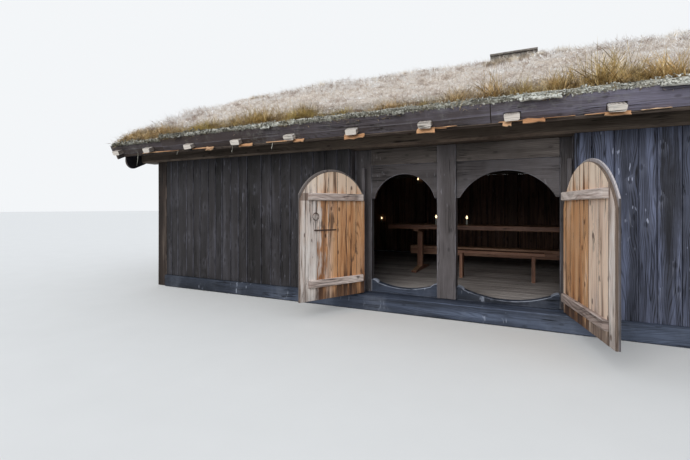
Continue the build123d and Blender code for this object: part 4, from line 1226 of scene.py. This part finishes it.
def strewing(name, on_faces):
    """A tree that plants tufts on a surface, or on the points of a mesh, and ends in one plain mesh."""
    tree = bpy.data.node_groups.new(name, "GeometryNodeTree")
    inputs = {"Geometry": "Geometry", "Tufts": "Collection", "Smallest": "Float", "Largest": "Float",
              "Lean": "Float", "Finish": "Material", "Seed": "Int"}
    if on_faces:
        inputs["Density"] = "Float"
    for key, kind in inputs.items():
        tree.interface.new_socket(name=key, in_out="INPUT", socket_type="NodeSocket" + kind)
    tree.interface.new_socket(name="Geometry", in_out="OUTPUT", socket_type="NodeSocketGeometry")
    m = Maker(tree)
    given = m.outs("NodeGroupInput")

    def stored(key):
        return m.out("GeometryNodeInputNamedAttribute", {"Name": key}, data_type="FLOAT")

    planted = given["Geometry"]
    if on_faces:
        planted = m.out("GeometryNodeDistributePointsOnFaces", {
            "Mesh": planted, "Density": given["Density"] * stored("cover"), "Seed": given["Seed"]},
            distribute_method="RANDOM")
    tufts = m.out("GeometryNodeCollectionInfo", {
        "Collection": given["Tufts"], "Separate Children": True, "Reset Children": True})
    lean, back = given["Lean"], given["Lean"] * -1.0
    low = m.out("ShaderNodeCombineXYZ", {0: back, 1: back, 2: 0.0})
    high = m.out("ShaderNodeCombineXYZ", {0: lean, 1: lean, 2: 2 * pi})
    placed_tufts = m.out("GeometryNodeInstanceOnPoints", {
        "Points": planted, "Instance": tufts, "Pick Instance": True, "Instance Index": lot(m, "INT", 0, 99, 3),
        "Rotation": lot(m, "FLOAT_VECTOR", low, high, given["Seed"]),
        "Scale": lot(m, "FLOAT", given["Smallest"], given["Largest"], 7) * stored("growth")})
    toned = m.out("GeometryNodeStoreNamedAttribute", {
        "Geometry": placed_tufts, "Name": "tone", "Value": lot(m, "FLOAT", 0.0, 1.0, 5)},
        data_type="FLOAT", domain="INSTANCE")
    real = m.out("GeometryNodeRealizeInstances", {0: toned})
    m.node("NodeGroupOutput", {0: m.out("GeometryNodeSetMaterial", {"Geometry": real, "Material": given["Finish"]})})
    return tree


def strewn(name, ground, tree, material, **values):
    """The plain mesh that a strewing gives on a ground mesh."""
    host = placed(name + "_ground", ground)
    modifier = host.modifiers.new("strew", "NODES")
    modifier.node_group = tree
    sockets = {item.name: item.identifier for item in tree.interface.items_tree if item.in_out == "INPUT"}
    for key, value in {**values, "Finish": material}.items():
        modifier[sockets[key]] = value
    bpy.context.view_layer.update()
    evaluated = host.evaluated_get(bpy.context.evaluated_depsgraph_get())
    mesh = bpy.data.meshes.new_from_object(evaluated)
    mesh.name = name
    host.modifiers.remove(modifier)
    bpy.data.objects.remove(host)
    if not mesh.materials:
        mesh.materials.append(material)
    settle(name, mesh)


def ground_mesh(name, side, start, end):
    """The sod's top between two places along the house, with how thickly and how tall grass grows."""
    rows = turf_tops[side]
    xs = rows[:, 0, 0]
    part = rows[[k for k in range(len(xs)) if start - 1e-6 <= xs[k] <= end + 1e-6]]
    points = part.reshape(-1, 3)
    faces = [(a, d, c, b) if side < 0 else (b, c, d, a)
             for _, _, (a, b, c, d) in quads(part.shape[0] - 1, part.shape[1], False)]
    cover, growth = [], []
    for x, y, _ in points:
        up = (eave_y - abs(y)) / cos(slope)
        rough = noise.noise(Vector((x * 0.9, y * 1.3, 3.0)))
        near = max(0.0, 1 - up / 0.7)
        cover.append(held(1 + 0.5 * noise.noise(Vector((x * 2.2, y * 2.2, 9.0))) + 0.3 * near, 0.35, 1.4))
        growth.append(0.8 + 0.3 * rough + 0.4 * near + 0.7 * crest(x, y) + 1.1 * verge(x, y) * min(1.0, up))
    return plain_mesh(name, points, faces, cover=cover, growth=growth)


surface_strewing = strewing("strew over a surface", True)
short_tufts = tuft_set("short_tuft", 100, blades=12, length=0.095, lean=(0.35, 1.35), spread=0.022, width=0.0045)
turf_rows = turf_tops[-1][:, 0, 0]
for (part, side), seams, density, smallest, largest, seed in zip(
        sides, ((-turf_end, -3.4, -1.2, 1.6, turf_end), (-turf_end, 0.0, turf_end)), (285.0, 90.0), (0.7, 1.0),
        (1.4, 1.8), (10, 20)):
    seams = [float(min(turf_rows, key=lambda v: abs(v - s))) for s in seams]
    for k, (a, b) in enumerate(pairwise(seams)):
        strewn(f"grass_{part}_{k + 1}", ground_mesh(f"{part}_ground_{k}", side, a, b), surface_strewing, roof_grass,
               Tufts=short_tufts, Density=density, Smallest=smallest, Largest=largest, Lean=0.35, Seed=seed + k)

# Long tussocks near the eave and a few on the ridge: place along the house, distance up the slope, half width,
# height in metres, and tint from olive to orange

tussocks = [
    (-5.1, 0.2, 0.14, 0.2, 0.75), (-4.72, 0.24, 0.22, 0.28, 0.8), (-4.1, 0.2, 0.28, 0.22, 0.4),
    (-4.5, 0.45, 0.2, 0.24, 0.9), (-3.85, 0.5, 0.25, 0.26, 0.6), (-3.1, 0.55, 0.3, 0.32, 0.45),
    (-3.5, 0.32, 0.33, 0.34, 0.2), (-2.55, 0.4, 0.37, 0.42, 0.5), (-1.87, 0.32, 0.26, 0.32, 0.3),
    (-2.0, 0.6, 0.28, 0.32, 0.6), (-1.25, 0.25, 0.17, 0.24, 0.2), (-0.67, 0.25, 0.19, 0.25, 0.8),
    (-0.15, 0.2, 0.09, 0.2, 0.1), (0.18, 0.34, 0.17, 0.36, 0.7), (0.55, 0.38, 0.13, 0.42, 0.75),
    (0.88, 0.32, 0.14, 0.3, 0.4), (1.25, 0.42, 0.18, 0.4, 0.6), (1.62, 0.5, 0.15, 0.62, 0.55),
    (1.8, 0.35, 0.24, 0.36, 0.5), (2.08, 0.46, 0.16, 0.5, 0.75), (2.7, 0.3, 0.22, 0.32, 0.5),
    (3.4, 0.3, 0.3, 0.36, 0.6), (4.2, 0.28, 0.3, 0.3, 0.4), (4.9, 0.25, 0.25, 0.3, 0.7),
    (-3.1, 3.25, 0.14, 0.22, 0.6), (-1.88, 3.35, 0.1, 0.16, 0.3), (1.37, 3.3, 0.14, 0.2, 0.6),
    (2.84, 3.25, 0.16, 0.2, 0.6), (-4.7, 3.25, 0.3, 0.18, 0.6), (-0.5, 3.4, 0.5, 0.12, 0.5),
    (-1.3, 3.4, 0.5, 0.12, 0.5)]
lid_low, lid_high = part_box("vent_lid")
for k in range(9):
    x = lid_low.x + (lid_high.x - lid_low.x) * k / 8
    tussocks.append((x, (eave_y - lid_high.y - 0.02) / cos(slope), 0.1, 0.17, 0.55))


def on_turf(side, x, up):
    """The place on the sod's top nearest to a spot along and up the slope."""
    rows = turf_tops[side]
    k = int(np.argmin(abs(rows[:, 0, 0] - x)))
    i = int(np.argmin(abs(rows[k, :, 1] - roof_point(side, up, turf_out).y)))
    spot = Vector(rows[k, i])
    spot.x = x
    return spot


point_strewing = strewing("strew on points", False)
long_tufts = tuft_set("long_tuft", 200, blades=32, length=0.2, lean=(0.1, 1.25), spread=0.034, width=0.0027,
                      joints=2)
for (part, side), seed, share in zip(sides, (91, 92), (1.0, 0.22)):
    chance = random.Random(seed)
    spots = []
    for x, up, reach, tall, tint in tussocks:
        x = x if side < 0 else -x
        deep = 0.05 if up > 1 else 0.13
        for _ in range(int((6 + tufts_per_metre * reach) * share)):
            away = chance.gauss(0, 0.5)
            spot = on_turf(side, x + away * reach, up + chance.gauss(0, deep))
            short = 1 - 0.35 * min(1.0, abs(away))
            growth = tall / tallest_blade * short * chance.uniform(0.7, 1.05)
            spots.append((spot, growth, tint + chance.uniform(-0.15, 0.15)))
    for _ in range(int(loose_tufts * share)):
        spot = on_turf(side, chance.uniform(-5.35, 5.35), abs(chance.gauss(0.03, 0.1)))
        spots.append((spot, chance.uniform(0.4, 0.8), chance.uniform(0.2, 0.9)))
    places, growth, tint = zip(*spots)
    ground = plain_mesh(f"tussocks_{part}_places", places, [], growth=growth, tint=tint)
    strewn("tussocks_" + part, ground, point_strewing, tussock_grass, Tufts=long_tufts, Smallest=0.85,
           Largest=1.05, Lean=0.3, Seed=seed)


# Floor, light and camera

def studio():
    """A wide pale floor, even sky light and a soft key light from the front."""
    reach = 160
    corners = [(-reach, -reach, 0), (reach, -reach, 0), (reach, reach, 0), (-reach, reach, 0)]
    mesh = plain_mesh("studio_floor", corners, [(0, 1, 2, 3)])
    material, m, solid = new_material("studio floor")
    path = m.outs("ShaderNodeLightPath")
    seen = m.math("MAXIMUM", path["Is Camera Ray"],
                  m.math("MAXIMUM", path["Is Glossy Ray"], path["Is Transmission Ray"]))
    speck = m.cloud(solid, 2, 2)
    pale = m.mix(speck, (0.74, 0.74, 0.73), (0.78, 0.78, 0.77))
    colour = m.mix(seen, (0.3, 0.29, 0.26), pale)
    close_material(m, colour, 0.95, speck, 0.05, 0.001, Specular_IOR_Level=0.1)
    mesh.materials.append(material)
    placed("studio_floor", mesh)
    world = bpy.data.worlds.new("studio sky")
    bpy.context.scene.world = world
    world.use_nodes = True
    world.node_tree.nodes.clear()
    m = Maker(world.node_tree)
    path = m.outs("ShaderNodeLightPath")
    seen = m.math("MAXIMUM", path["Is Camera Ray"], path["Is Transmission Ray"])
    light = m.out("ShaderNodeBackground", {0: (0.86, 0.92, 1.0), 1: 0.8})
    view = m.out("ShaderNodeBackground", {0: (0.9, 0.92, 0.94), 1: 1.0})
    m.node("ShaderNodeOutputWorld", {0: m.out("ShaderNodeMixShader", {0: seen, 1: light, 2: view})})
    lamp = bpy.data.lights.new("key", "SUN")
    lamp.energy = 2.0
    lamp.angle = radians(55)
    lamp.color = (1.0, 0.97, 0.92)
    placed("key", lamp).rotation_euler = Vector((0.1, 0.85, -0.5)).to_track_quat("-Z", "Y").to_euler()


studio()
eye = bpy.data.cameras.new("photo_view")
eye.sensor_width = 36
eye.lens = 20.87
eye.shift_y = -0.032
eye.clip_end = 500
camera = placed("photo_view", eye)
camera.location = (0.99, -7.62, 1.35)
camera.rotation_euler = (radians(90), 0, radians(25.6))
bpy.context.scene.camera = camera
bpy.context.scene.view_settings.view_transform = "Standard"
